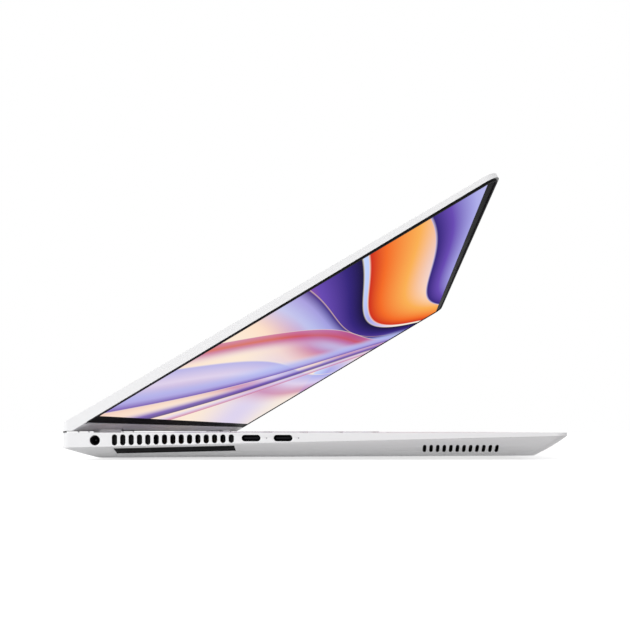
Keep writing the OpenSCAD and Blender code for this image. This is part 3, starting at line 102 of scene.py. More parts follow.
class Graph:
    """The node tree of a material or a world, with short ways to add and join nodes."""

    def __init__(self, owner: Material | bpy.types.World) -> None:
        """Starts an empty tree.

        Args:
            owner: The new material or world.
        """
        self.owner = owner
        owner.use_nodes = True
        self.tree = owner.node_tree
        self.tree.nodes.clear()

    def add(
        self, kind: str, inputs: dict[str | int, object] | None = None, **settings: object
    ) -> bpy.types.Node:
        """Adds a node.

        Args:
            kind: Blender's name for the node type.
            inputs: Values or sockets for its inputs, by name or number.
            settings: Settings of the node itself.

        Returns:
            The new node.
        """
        node = self.tree.nodes.new(kind)
        for key, value in settings.items():
            setattr(node, key, value)
        for key, value in (inputs or {}).items():
            if isinstance(value, Socket):
                self.tree.links.new(value, node.inputs[key])
            else:
                node.inputs[key].default_value = value
        return node

    def place(self) -> Socket:
        """Returns the object's own coordinates in metres."""
        return self.add("ShaderNodeTexCoord").outputs["Object"]

    def stretched(self, scale: Point) -> Socket:
        """Returns the object's coordinates, stretched by a factor along each axis."""
        return self.add("ShaderNodeMapping", {"Vector": self.place(), "Scale": scale}).outputs[0]

    def split(self, vector: Socket) -> list[Socket]:
        """Returns the X, Y and Z of a vector."""
        return list(self.add("ShaderNodeSeparateXYZ", {0: vector}).outputs)

    def along(self, place: Socket, axis: Point) -> Socket:
        """Returns how far a point lies along an axis of length 1 through the origin."""
        inputs = {0: place, 1: axis}
        return self.add("ShaderNodeVectorMath", inputs, operation="DOT_PRODUCT").outputs["Value"]

    def maths(self, operation: str, first: object, second: object = 0.0) -> Socket:
        """Returns the result of a calculation with one or two numbers or sockets."""
        return self.add("ShaderNodeMath", {0: first, 1: second}, operation=operation).outputs[0]

    def product(self, *factors: object) -> Socket:
        """Returns the product of some numbers or sockets, so 1 where all of some tests hold."""
        return functools.reduce(functools.partial(self.maths, "MULTIPLY"), factors)

    def noise(self, size: float, detail: float = 3.0, place: Socket | None = None) -> Socket:
        """Returns a soft noise with spots of about one size in millimetres, and finer layers."""
        inputs = {"Vector": place or self.place(), "Scale": 1 / (size * MM), "Detail": detail}
        return self.add("ShaderNodeTexNoise", inputs).outputs[0]

    def ramp(self, value: Socket, stops: Stops, easing: str = "LINEAR") -> Socket:
        """Turns a value into a colour.

        Args:
            value: The value, from 0 to 1.
            stops: Places and colours.
            easing: How one colour turns into the next.

        Returns:
            The colour's socket.
        """
        node = self.add("ShaderNodeValToRGB", {0: value})
        node.color_ramp.interpolation = easing
        elements = node.color_ramp.elements
        while len(elements) > 1:
            elements.remove(elements[-1])
        elements[0].position, elements[0].color = stops[0]
        for position, colour in stops[1:]:
            elements.new(position).color = colour
        return node.outputs[0]

    def fade(self, value: Socket, ends: Point2, first: Colour, second: Colour) -> Socket:
        """Returns a colour that turns from the first to the second between two values."""
        return self.ramp(value, tuple(zip(ends, (first, second))))

    def between(
        self, value: Socket, low: float, high: float, start: float = 0.0, end: float = 1.0
    ) -> Socket:
        """Returns a value of start to end, spread over the range of low to high."""
        inputs = {0: value, 1: start, 2: end, 3: low, 4: high}
        return self.add("ShaderNodeMapRange", inputs).outputs[0]

    def mix(self, share: Socket, first: object, second: object) -> Socket:
        """Returns a mix of two colours, with the given share of the second."""
        inputs = {0: share, 6: first, 7: second}
        return self.add("ShaderNodeMix", inputs, data_type="RGBA").outputs[2]

    def bump(self, height: Socket, depth: float) -> Socket:
        """Returns the surface direction, bent by a height times a depth in millimetres."""
        return self.add("ShaderNodeBump", {"Height": height, "Distance": depth * MM}).outputs[0]

    def surface(self, inputs: dict[str, object]) -> Material:
        """Adds the main shader and the output.

        Args:
            inputs: Values or sockets of the shader, by name.

        Returns:
            The finished material.
        """
        shader = self.add("ShaderNodeBsdfPrincipled", inputs)
        self.add("ShaderNodeOutputMaterial", {"Surface": shader.outputs[0]})
        return self.owner


@dataclass(frozen=True)
class Finish:
    """What every finish has: a name and a colour."""

    name: str
    colour: Colour

    def start(self) -> Graph:
        """Returns the empty tree of a new material."""
        return Graph(bpy.data.materials.new(self.name))

    def build(self) -> Material:
        """Builds the material anew."""
        raise NotImplementedError

    def material(self) -> Material:
        """Returns the material, built once for each name."""
        return bpy.data.materials.get(self.name) or self.build()


@dataclass(frozen=True)
class SatinPaint(Finish):
    """Smooth paint on blasted metal, with a very fine grain."""

    roughness: float = 0.38
    grain: float = 0.25
    depth: float = 0.004
    patch: float = 14.0
    smoother: float = 0.03
    rougher: float = 0.05

    def tone(self, graph: Graph) -> object:
        """Returns the paint's colour, or a socket that gives it."""
        return self.colour

    def relief(self, graph: Graph) -> Socket:
        """Returns the surface direction, bent by the paint's fine grain."""
        return graph.bump(graph.noise(self.grain), self.depth)

    def build(self) -> Material:
        """Builds the paint, a little rougher in soft patches.

        Returns:
            The material.
        """
        graph = self.start()
        low, high = self.roughness - self.smoother, self.roughness + self.rougher
        return graph.surface({
            "Base Color": self.tone(graph),
            "Roughness": graph.between(graph.noise(self.patch), low, high),
            "Normal": self.relief(graph),
        })


@dataclass(frozen=True)
class SlottedPaint(SatinPaint):
    """The same paint, with near-black painted shade on the cut walls of the side slots and sockets.

    The painted shade starts a skin's depth inside the side walls. It lies within reach of the
    middle, and under the deck by the given depth.
    """

    skin: float = 0.25
    reach: float = 100.0
    deck: float = 0.5

    def tone(self, graph: Graph) -> Socket:
        """Paints near-black shade on what lies inside the side walls and under the deck.

        Args:
            graph: The tree.

        Returns:
            The colour's socket.
        """
        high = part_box("top_case")[1]
        x, y, z = graph.split(graph.place())
        share = graph.product(
            graph.maths("LESS_THAN", graph.maths("ABSOLUTE", x), high.x - self.skin * MM),
            graph.maths("LESS_THAN", graph.maths("ABSOLUTE", y), self.reach * MM),
            graph.maths("LESS_THAN", z, high.z - self.deck * MM),
        )
        # Painted shade: the masked recesses turn near black.
        return graph.mix(share, self.colour, RECESS_SHADE)


@dataclass(frozen=True)
class GrilledPaint(SatinPaint):
    """The same paint, with near-black painted shade on the walls of the speaker slots in the side
    slopes.

    The slots lie between back and front and between low and high, further out than the reach.
    Their walls' directions lean sideways by less than the given share. The crown is per metre.
    """

    back: float = -51.0
    front: float = -88.0
    low: float = 3.7
    high: float = 7.6
    reach: float = 165.5
    sideways: float = 0.3
    crown: float = 45.0

    def relief(self, graph: Graph) -> Socket:
        """Adds a faint crown to the slopes, so that light falls off towards the feet.

        Args:
            graph: The tree.

        Returns:
            The surface direction's socket.
        """
        height = graph.split(graph.place())[2]
        rise = graph.maths("SUBTRACT", height, (self.low + self.high) / 2 * MM)
        fall = graph.product(rise, rise, -self.crown)
        grain = graph.maths("MULTIPLY", graph.noise(self.grain), self.depth * MM)
        return graph.bump(graph.maths("ADD", fall, grain), 1 / MM)

    def tone(self, graph: Graph) -> Socket:
        """Paints near-black shade on the slots' walls, which hardly face sideways as the slopes do.

        Args:
            graph: The tree.

        Returns:
            The colour's socket.
        """
        facing = graph.split(graph.add("ShaderNodeNewGeometry").outputs["True Normal"])[0]
        x, y, z = graph.split(graph.place())
        slot_wall_shade = graph.product(
            graph.maths("LESS_THAN", graph.maths("ABSOLUTE", facing), self.sideways),
            graph.maths("GREATER_THAN", graph.maths("ABSOLUTE", x), self.reach * MM),
            graph.maths("LESS_THAN", y, self.back * MM),
            graph.maths("GREATER_THAN", y, self.front * MM),
            graph.maths("GREATER_THAN", z, self.low * MM),
            graph.maths("LESS_THAN", z, self.high * MM),
        )
        # Painted shade: the slots' walls turn near black.
        return graph.mix(slot_wall_shade, self.colour, RECESS_SHADE)


@dataclass(frozen=True)
class RimShadedPaint(SatinPaint):
    """The same paint on the lid, with a strip of near-black painted shade under its rim.

    The rim's underside lies a drop below the hinge's axis, less by the taper at the free edge.
    """

    tilt: float = LID_TILT
    start_at: float = 8.2
    strip: float = 0.12
    drop: float = 2.9
    taper: float = 0.71

    def tone(self, graph: Graph) -> Socket:
        """Paints near-black shade on the underside of the lid's rim, from the bezel to the free
        edge.

        Args:
            graph: The tree.

        Returns:
            The colour's socket.
        """
        lean = math.radians(self.tilt)
        pivot = sum(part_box("left_hinge_pin"), Vector()) / 2
        tip = math.dist(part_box("screen_bezel")[0][1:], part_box("screen_bezel")[1][1:])
        inputs = {0: graph.place(), 1: tuple(pivot)}
        away = graph.add("ShaderNodeVectorMath", inputs, operation="SUBTRACT").outputs[0]
        along = graph.along(away, (0, -math.cos(lean), math.sin(lean)))
        rise = graph.along(away, (0, math.sin(lean), math.cos(lean)))
        share = graph.maths("DIVIDE", along, tip)
        tapered = graph.maths("MULTIPLY", share, self.taper * MM)
        rim = graph.maths("SUBTRACT", tapered, (self.drop - self.strip) * MM)
        under = graph.maths("LESS_THAN", rise, rim)
        past = graph.maths("GREATER_THAN", along, self.start_at * MM)
        # Painted shade: the rim's underside turns near black.
        return graph.mix(graph.product(under, past), self.colour, RIM_SHADE)


@dataclass(frozen=True)
class MouldedPlastic(Finish):
    """Plastic with the grain of its mould."""

    roughness: float = 0.5
    grain: float = 0.35
    depth: float = 0.01
    shine: float = 0.5
    layers: float = 2.0
    spot: float = 6.0
    dimmer: float = 0.93
    fade: Point2 = (0.3, 0.7)
    patch: float = 9.0
    swing: float = 0.05

    def build(self) -> Material:
        """Builds the plastic, with a faint change of tone.

        Returns:
            The material.
        """
        graph = self.start()
        dim = scaled(self.colour, self.dimmer)
        low, high = self.roughness - self.swing, self.roughness + self.swing
        return graph.surface({
            "Base Color": graph.fade(graph.noise(self.spot), self.fade, dim, self.colour),
            "Roughness": graph.between(graph.noise(self.patch), low, high),
            "Specular IOR Level": self.shine,
            "Normal": graph.bump(graph.noise(self.grain, self.layers), self.depth),
        })


@dataclass(frozen=True)
class GlossBlack(Finish):
    """Black printed glass, wiped clean but not spotless."""

    roughness: float = 0.3
    shine: float = 0.15
    smear: float = 30.0
    layers: float = 4.0
    wipe: Point = (1.0, 0.4, 1.0)
    lighter: float = 1.3
    fade: Point2 = (0.35, 0.8)
    smoother: float = 0.06
    rougher: float = 0.1

    def build(self) -> Material:
        """Builds the glass with faint smears.

        Returns:
            The material.
        """
        graph = self.start()
        smear = graph.noise(self.smear, self.layers, graph.stretched(self.wipe))
        lit = scaled(self.colour, self.lighter)
        low, high = self.roughness - self.smoother, self.roughness + self.rougher
        return graph.surface({
            "Base Color": graph.fade(smear, self.fade, self.colour, lit),
            "Roughness": graph.between(smear, low, high),
            "Specular IOR Level": self.shine,
        })


@dataclass(frozen=True)
class BrushedMetal(Finish):
    """Bare metal with fine strokes along one axis."""

    roughness: float = 0.3
    strokes: Point = (0.02, 1.0, 1.0)
    stroke: float = 0.4
    layers: float = 4.0
    dimmer: float = 0.86
    fade: Point2 = (0.25, 0.75)
    smoother: float = 0.07
    rougher: float = 0.1
    depth: float = 0.003

    def build(self) -> Material:
        """Builds the metal with its strokes.

        Returns:
            The material.
        """
        graph = self.start()
        lines = graph.noise(self.stroke, self.layers, graph.stretched(self.strokes))
        dim = scaled(self.colour, self.dimmer)
        low, high = self.roughness - self.smoother, self.roughness + self.rougher
        return graph.surface({
            "Base Color": graph.fade(lines, self.fade, dim, self.colour),
            "Metallic": 1.0,
            "Roughness": graph.between(lines, low, high),
            "Normal": graph.bump(lines, self.depth),
        })


@dataclass(frozen=True)
class CircuitBoard(Finish):
    """A board under solder mask, with small plated holes."""

    pitch: float = 2.4
    hole: Point2 = (0.1, 0.14)
    plating: Colour = srgb(201, 164, 86)
    lighter: float = 1.9
    patch: float = 3.0
    gloss: Point2 = (0.25, 0.45)

    def build(self) -> Material:
        """Builds the board with its holes.

        Returns:
            The material.
        """
        graph = self.start()
        inputs = {"Vector": graph.place(), "Scale": 1 / (self.pitch * MM)}
        cells = graph.add("ShaderNodeTexVoronoi", inputs, distance="MANHATTAN", feature="F1")
        hole = graph.fade(cells.outputs[0], self.hole, WHITE, BLACK)
        return graph.surface({
            "Base Color": graph.mix(hole, scaled(self.colour, self.lighter), self.plating),
            "Roughness": graph.between(graph.noise(self.patch), *self.gloss),
        })


@dataclass(frozen=True)
class WovenScreen(Finish):
    """Fine black netting, seen as a weave of threads.

    The wave is the factor that makes one wave of the texture about as long as the pitch.
    """

    pitch: float = 0.9
    wave: float = 0.32
    fade: Point2 = (0.45, 0.8)
    roughness: float = 0.7
    depth: float = 0.15

    def build(self) -> Material:
        """Builds the netting from two crossing waves.

        Returns:
            The material.
        """
        graph = self.start()
        scale = self.wave / (self.pitch * MM)
        waves = []
        for direction in ("X", "Y"):
            inputs = {"Vector": graph.place(), "Scale": scale}
            node = graph.add("ShaderNodeTexWave", inputs, bands_direction=direction)
            waves.append(node.outputs[1])
        threads = graph.maths("MAXIMUM", *waves)
        return graph.surface({
            "Base Color": graph.fade(threads, self.fade, DEEP_BLACK, self.colour),
            "Roughness": self.roughness,
            "Normal": graph.bump(threads, self.depth),
        })


@dataclass(frozen=True)
class Ribbon:
    """One band of the picture, crisp along one edge and fading from it.

    Its edge lies at start + slope * across + sway * sin(rate * across + phase).
    """

    start: float
    slope: float
    sway: float
    rate: float
    phase: float
    width: float
    colours: Stops
    body: float = 1.0


CREAM = srgb(255, 240, 216)
PEACH = srgb(253, 214, 186)
AMBER = srgb(250, 176, 84)
ORANGE = srgb(244, 108, 36)
EMBER = srgb(206, 44, 24)
ROSE = srgb(196, 92, 150)
LILAC = srgb(220, 206, 238)
LAVENDER = srgb(172, 172, 234)
VIOLET = srgb(104, 74, 178)
INDIGO = srgb(52, 36, 122)
NAVY = srgb(22, 16, 60)
ICE = srgb(196, 216, 255)

GROUND = (
    (0.0, srgb(252, 224, 204)), (0.22, srgb(252, 234, 214)), (0.42, srgb(222, 212, 238)),
    (0.62, srgb(246, 234, 224)), (0.85, srgb(250, 244, 228)),
)
RIBBONS = (
    Ribbon(0.62, -0.34, 0.09, 3.0, 0.4, 0.52, (
        (0.00, CREAM), (0.04, ICE), (0.25, LAVENDER), (0.6, LILAC), (1.00, CREAM))),
    Ribbon(0.60, 0.34, 0.12, 3.6, 2.4, -0.40, (
        (0.00, CREAM), (0.015, NAVY), (0.12, INDIGO), (0.3, VIOLET), (0.5, ROSE), (0.7, PEACH),
        (1.00, CREAM))),
    Ribbon(0.61, 0.34, 0.12, 3.6, 2.4, 0.34, (
        (0.00, CREAM), (0.02, EMBER), (0.14, ORANGE), (0.4, AMBER), (0.7, PEACH), (1.00, CREAM))),
    Ribbon(0.47, 0.40, 0.10, 3.4, 2.3, -0.16, (
        (0.00, PEACH), (0.03, INDIGO), (0.2, LAVENDER), (0.5, ICE), (1.00, LILAC)), 0.8),
    Ribbon(0.78, 0.30, 0.07, 4.4, 1.5, 0.26, (
        (0.00, LILAC), (0.03, INDIGO), (0.2, VIOLET), (0.45, LAVENDER), (1.00, ICE))),
    Ribbon(0.30, 0.52, 0.06, 4.6, 0.3, -0.12, (
        (0.00, CREAM), (0.04, ROSE), (0.3, EMBER), (0.45, ROSE), (1.00, LILAC)), 0.8),
    Ribbon(0.20, 0.30, 0.05, 5.2, 0.2, -0.26, (
        (0.00, CREAM), (0.04, LAVENDER), (0.3, LILAC), (0.6, ROSE), (1.00, PEACH)), 0.85),
    Ribbon(0.02, 0.66, 0.05, 4.0, 3.3, 0.14, (
        (0.00, CREAM), (0.05, VIOLET), (0.3, LAVENDER), (1.00, ICE)), 0.9),
    Ribbon(-0.12, 0.74, 0.04, 4.2, 3.1, 0.09, (
        (0.00, PEACH), (0.06, INDIGO), (0.4, VIOLET), (1.00, LILAC)), 0.9),
    Ribbon(-0.22, 0.80, 0.03, 4.4, 2.9, 0.08, (
        (0.00, CREAM), (0.06, ROSE), (0.5, LILAC), (1.00, CREAM)), 0.8),
)


@dataclass(frozen=True)
class LitPicture(Finish):
    """The lit display with a picture of soft, flowing bands of colour.

    The picture is laid out on the lid as it stands: across is the share of the
    width from the left, and up is the share of the height from the hinge. The
    display's middle, width and height are in metres, and its tilt in radians.
    """

    middle: Point = (0.0, 0.0, 0.0)
    tilt: float = 0.0
    width: float = 1.0
    height: float = 1.0
    crisp: float = 0.008
    hold: float = 0.4
    drift_across: float = 0.55
    drift_up: float = 0.5
    smear: float = 40.0
    gloss: Point2 = (0.28, 0.36)

    def share(self, graph: Graph, axis: Point, length: float) -> Socket:
        """Finds how far along an axis a point lies, from 0 to 1.

        Args:
            graph: The tree.
            axis: The axis, of length 1.
            length: The picture's length along it, in metres.

        Returns:
            The share's socket.
        """
        along = graph.along(graph.place(), axis)
        start = Vector(axis).dot(Vector(self.middle)) - length / 2
        return graph.maths("DIVIDE", graph.maths("SUBTRACT", along, start), length)

    def lay(
        self, graph: Graph, below: Socket, ribbon: Ribbon, across: Socket, up: Socket
    ) -> Socket:
        """Lays one ribbon over what is there already.

        Args:
            graph: The tree.
            below: The colour so far.
            ribbon: The ribbon.
            across: Share of the width.
            up: Share of the height.

        Returns:
            The colour with the ribbon on it.
        """
        turn = graph.maths("ADD", graph.maths("MULTIPLY", across, ribbon.rate), ribbon.phase)
        sway = graph.maths("MULTIPLY", graph.maths("SINE", turn), ribbon.sway)
        slope = graph.maths("MULTIPLY", across, ribbon.slope)
        line = graph.maths("ADD", graph.maths("ADD", slope, ribbon.start), sway)
        depth = graph.maths("DIVIDE", graph.maths("SUBTRACT", up, line), ribbon.width)
        full = scaled(WHITE, ribbon.body)
        cover = ((0.0, BLACK), (self.crisp, full), (self.hold, full), (1.0, BLACK))
        return graph.mix(graph.ramp(depth, cover, "EASE"), below, graph.ramp(depth, ribbon.colours))

    def build(self) -> Material:
        """Builds the picture from ribbons over a pale ground.

        Its glow lights the deck without rays sent to look for it, which keeps pale paint even.

        Returns:
            The material.
        """
        graph = self.start()
        across = self.share(graph, (1, 0, 0), self.width)
        up = self.share(graph, (0, -math.cos(self.tilt), math.sin(self.tilt)), self.height)
        aside = graph.maths("MULTIPLY", across, self.drift_across)
        drift = graph.maths("ADD", aside, graph.maths("MULTIPLY", up, self.drift_up))
        picture = graph.ramp(drift, GROUND, "EASE")
        for ribbon in RIBBONS:
            picture = self.lay(graph, picture, ribbon, across, up)
        graph.owner.cycles.emission_sampling = "NONE"
        return graph.surface({
            "Base Color": self.colour,
            "Roughness": graph.between(graph.noise(self.smear), *self.gloss),
            "Specular IOR Level": 0.0,
            "Emission Color": picture,
            "Emission Strength": 1.0,
        })


def dress(material: Material, *names: str) -> None:
    """Gives CAD nodes a material.

    Args:
        material: The material.
        names: The nodes.
    """
    for name in names:
        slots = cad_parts[name].material_slots
        if not slots:
            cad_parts[name].data.materials.append(material)
        for slot in slots:
            slot.link = "OBJECT"
            slot.material = material


class Kind(Enum):
    """The finishes that this computer is made in."""

    CASE = SlottedPaint("case_paint", (0.885, 0.885, 0.895, 1), depth=0.0015)
    SHELL = RimShadedPaint("lid_paint", (0.885, 0.885, 0.895, 1), depth=0.0015)
    # The cover is the same white paint as the case, set a little darker as painted shade on its
    # downward-facing slopes.
    COVER = GrilledPaint("cover_paint", (0.86, 0.86, 0.87, 1), depth=0.0015)
    HINGE_COVER = SatinPaint("hinge_cover_paint", (0.82, 0.82, 0.83, 1), depth=0.0015)
    FRAME = MouldedPlastic("frame_plastic", (0.72, 0.72, 0.735, 1), roughness=0.5)
    KEY = MouldedPlastic("key_plastic", (0.80, 0.80, 0.815, 1), roughness=0.55, grain=0.3)
    BUTTON = MouldedPlastic("button_plastic", (0.52, 0.53, 0.55, 1), roughness=0.4)
    PAD = SatinPaint("pad_glass", (0.78, 0.78, 0.79, 1), roughness=0.3, grain=0.15, depth=0.002)
    DARK = MouldedPlastic("dark_plastic", (0.016, 0.016, 0.018, 1), roughness=0.5, shine=0.3)
    RUBBER = MouldedPlastic(
        "foot_rubber", (0.02, 0.02, 0.021, 1), roughness=0.85, grain=0.5, depth=0.03, shine=0.3)
    INSERT = MouldedPlastic("insert_plastic", (0.012, 0.012, 0.013, 1), roughness=0.6, shine=0.08)
    # Black rubber of the lid's gasket, and also the black of the strips of painted shadow along the
    # hinge.
    GASKET_AND_SHADOW = MouldedPlastic("gasket_rubber_and_shadow_strips", (0.008, 0.008, 0.009, 1), roughness=0.8, shine=0.2)
    BEZEL = GlossBlack("bezel_glass", (0.011, 0.011, 0.012, 1), shine=0.002)
    LENS = GlossBlack("camera_glass", (0.006, 0.006, 0.012, 1), roughness=0.08, shine=0.5)
    SOCKET = BrushedMetal("socket_steel", (0.36, 0.36, 0.37, 1), roughness=0.35)
    SOCKET_DARK = BrushedMetal("socket_plated", (0.014, 0.014, 0.016, 1), roughness=0.4)
    STEEL = BrushedMetal("stamped_steel", (0.55, 0.55, 0.56, 1), roughness=0.36)
    PIN = BrushedMetal("ground_steel", (0.62, 0.62, 0.64, 1), roughness=0.2)
    FINS = BrushedMetal("fin_plating", (0.03, 0.03, 0.032, 1), roughness=0.5)
    COPPER = BrushedMetal("bare_copper", (0.86, 0.45, 0.27, 1), roughness=0.3)
    BOARD = CircuitBoard("solder_mask", (0.012, 0.09, 0.055, 1))
    BATTERY = MouldedPlastic(
        "battery_wrap", (0.02, 0.02, 0.022, 1), roughness=0.45, grain=2.5, depth=0.06)
    NETTING = WovenScreen("intake_netting", (0.03, 0.03, 0.032, 1))
    LIGHT = MouldedPlastic("light_guide", (0.5, 0.52, 0.55, 1), roughness=0.25)
    PRINT = MouldedPlastic("key_print", (0.10, 0.10, 0.115, 1), roughness=0.6)

    def material(self) -> Material:
        """Returns the finish's material."""
        return self.value.material()

    def dress(self, *names: str) -> None:
        """Gives CAD nodes this finish."""
        dress(self.material(), *names)


def joined(name: str) -> bpy.types.Object:
    """Shades a CAD node smoothly and joins the points of its faces.

    Args:
        name: The node.

    Returns:
        The node's object.
    """
    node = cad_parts[name]
    node.data.shade_smooth()
    node.modifiers.new("join", "WELD").merge_threshold = WELD
    return node


def soften(width: float, *names: str, angle: float = 32.0, segments: int = 2) -> None:
    """Rounds the sharp edges of CAD nodes a little.

    Args:
        width: Width of the rounding, in millimetres.
        names: The nodes.
        angle: Smallest bend that counts as an edge, in degrees.
        segments: Number of faces across the rounding.
    """
    for name in names:
        node = joined(name)
        edge = node.modifiers.new("edge", "BEVEL")
        edge.width = width * MM
        edge.segments = segments
        edge.limit_method = "ANGLE"
        edge.angle_limit = math.radians(angle)
        edge.use_clamp_overlap = True
        edge.harden_normals = True
        edge.miter_outer = "MITER_ARC"
        node.modifiers.new("shade", "WEIGHTED_NORMAL").keep_sharp = True


def smooth(name: str, angle: float = 16.0) -> None:
    """Shades the curved faces of a CAD node smoothly and keeps edges above an angle sharp."""
    joined(name).modifiers.new("edge", "EDGE_SPLIT").split_angle = math.radians(angle)


def close(sheet: Sheet, low: list[bmesh.types.BMVert], high: list[bmesh.types.BMVert]) -> None:
    """Adds the two ends and the walls of a straight block.

    Args:
        sheet: The mesh that holds the points.
        low: The points of one end, anticlockwise as seen from the other end.
        high: The points of the other end, in the same order.
    """
    sheet.faces.new(list(reversed(low)))
    sheet.faces.new(high)
    for index in range(len(low)):
        after = (index + 1) % len(low)
        sheet.faces.new((low[index], low[after], high[after], high[index]))


def make(sheet: Sheet, name: str, material: Material) -> bpy.types.Object:
    """Makes an object of a finished mesh and puts it in the scene.

    Args:
        sheet: The mesh, which is used up.
        name: Name of the object.
        material: Its material.

    Returns:
        The object.
    """
    mesh = bpy.data.meshes.new(name)
    sheet.to_mesh(mesh)
    sheet.free()
    mesh.materials.append(material)
    piece = bpy.data.objects.new(name, mesh)
    bpy.context.scene.collection.objects.link(piece)
    return piece


@dataclass
class Case:
    """The base's shells, its chamfer inserts, feet and screws."""

    edge: float = 0.22
    bracket_edge: float = 0.1

    def build(self) -> None:
        """Dresses the shells and what is fixed to them."""
        Kind.CASE.dress("top_case", "left_hinge_bracket", "right_hinge_bracket")
        Kind.COVER.dress("bottom_cover")
        Kind.INSERT.dress("left_chamfer_insert", "right_chamfer_insert", "vent_screens")
        Kind.RUBBER.dress("rear_foot", "front_foot")
        Kind.STEEL.dress("cover_screws")
        soften(self.edge, "top_case", "rear_foot", "front_foot")
        soften(self.bracket_edge, "left_hinge_bracket", "right_hinge_bracket")
        smooth("bottom_cover")


@dataclass
class HingeShadowStrips:
    """Black strips of painted shadow on small posts along the base's rear edge, under the lid,
    where the gap under the hinge cover lies in shade.

    Places along the hinge are distances from the middle, and every bar stands on both sides.
    """

    outer: float = 173.8
    turn: float = 171.6
    inner: float = 84.0
    post: float = 0.6
    posts: tuple[float, ...] = (158.0, 146.0, 132.0, 118.0, 101.0, 84.6)
    foot: tuple[Point2, ...] = ((119.25, 13.1), (119.85, 13.1), (119.85, 13.84), (119.25, 13.84))
    shadow_strip: tuple[Point2, ...] = (
        (119.25, 13.8), (119.85, 13.8), (119.85, 14.0),
        (119.7, 14.06), (119.4, 14.06), (119.25, 14.0))

    def bar(self, sheet: Sheet, outline: tuple[Point2, ...], ends: Point2, side: int) -> None:
        """Adds a straight bar along the hinge.

        Args:
            sheet: The mesh to add to.
            outline: Its section in Y and Z, anticlockwise as seen from the right.
            ends: Distances of its outer and inner end from the middle.
            side: Minus one for the left side, one for the right.
        """
        outer, inner = (
            [sheet.verts.new((side * x * MM, y * MM, z * MM)) for y, z in outline] for x in ends)
        close(sheet, inner, outer)

    def piece(
        self, name: str, outline: tuple[Point2, ...], spans: list[Point2], kind: Kind, slot: str
    ) -> None:
        """Makes one piece of bars on both sides, with all its faces turned outwards.

        Args:
            name: Name of the piece.
            outline: The bars' section in Y and Z.
            spans: Distances of each bar's outer and inner end from the middle.
            kind: Its finish.
            slot: Not used.
        """
        sheet = bmesh.new()
        for span in spans:
            for side in (-1, 1):
                self.bar(sheet, outline, span, side)
        bmesh.ops.recalc_face_normals(sheet, faces=sheet.faces)
        piece = make(sheet, name, kind.material())
        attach(piece, "base")

    def build(self) -> None:
        """Makes the posts and the black strips of painted shadow on them, each turned down at its
        outer end.
        """
        posts = [(place + self.post, place) for place in self.posts]
        self.piece("rear_shadow_strip_posts", self.foot, posts, Kind.CASE, "case_white")
        # The black strips and their turned-down ends are painted shadow, in the gasket's black
        # finish.
        self.piece("rear_shadow_strips", self.shadow_strip, [(self.turn, self.inner)], Kind.GASKET_AND_SHADOW, "gasket_black")
        ends = [(self.outer, self.turn)]
        self.piece("rear_shadow_strip_ends", self.foot, ends, Kind.GASKET_AND_SHADOW, "gasket_black")


@dataclass
class Ports:
    """The sockets at both sides."""

    def build(self) -> None:
        """Dresses the sockets."""
        Kind.SOCKET_DARK.dress("usb_c_rear", "usb_c_front")
        Kind.SOCKET.dress("usb_a_port", "hdmi_port")
        Kind.INSERT.dress("dc_jack", "audio_jack")
        Kind.LIGHT.dress("port_lights")


@dataclass
class Cooling:
    """The blowers, their fins and the heat pipe."""

    def build(self) -> None:
        """Dresses the cooling parts."""
        Kind.DARK.dress("left_fan_housing", "right_fan_housing")
        Kind.DARK.dress("left_fan_rotor", "right_fan_rotor")
        Kind.FINS.dress("left_fin_stack", "right_fin_stack")
        Kind.COPPER.dress("heat_pipes", "heat_spreader")
        Kind.NETTING.dress("intake_mesh")


@dataclass
class Inside:
    """The boards, battery, speakers and trays inside the base."""

    def build(self) -> None:
        """Dresses the inner parts."""
        Kind.BOARD.dress("motherboard", "left_io_board", "ssd_card", "wifi_card", "display_board")
        Kind.BATTERY.dress("battery_pack")
        Kind.DARK.dress("left_speaker", "right_speaker", "display_cable", "antennas")
        Kind.STEEL.dress("keyboard_tray", "touchpad_tray", "lid_magnets")


@dataclass
class Cap:
    """The top face of one keycap."""

    left: float
    right: float
    front: float
    back: float
    top: float

    @property
    def middle(self) -> Vector:
        """Returns the middle of the face."""
        return Vector(((self.left + self.right) / 2, (self.front + self.back) / 2, self.top))


def islands(name: str) -> list[list[Vector]]:
    """Finds the separate solids of a CAD node.

    Args:
        name: The node.

    Returns:
        The points of each solid.
    """
    mesh = bmesh.new()
    mesh.from_mesh(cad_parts[name].data)
    bmesh.ops.remove_doubles(mesh, verts=mesh.verts, dist=WELD)
    left = set(mesh.verts)
    found = []
    while left:
        group, edge = [], [left.pop()]
        while edge:
            point = edge.pop()
            group.append(point.co.copy())
            near = {line.other_vert(point) for line in point.link_edges} & left
            left -= near
            edge.extend(near)
        found.append(group)
    mesh.free()
    return found


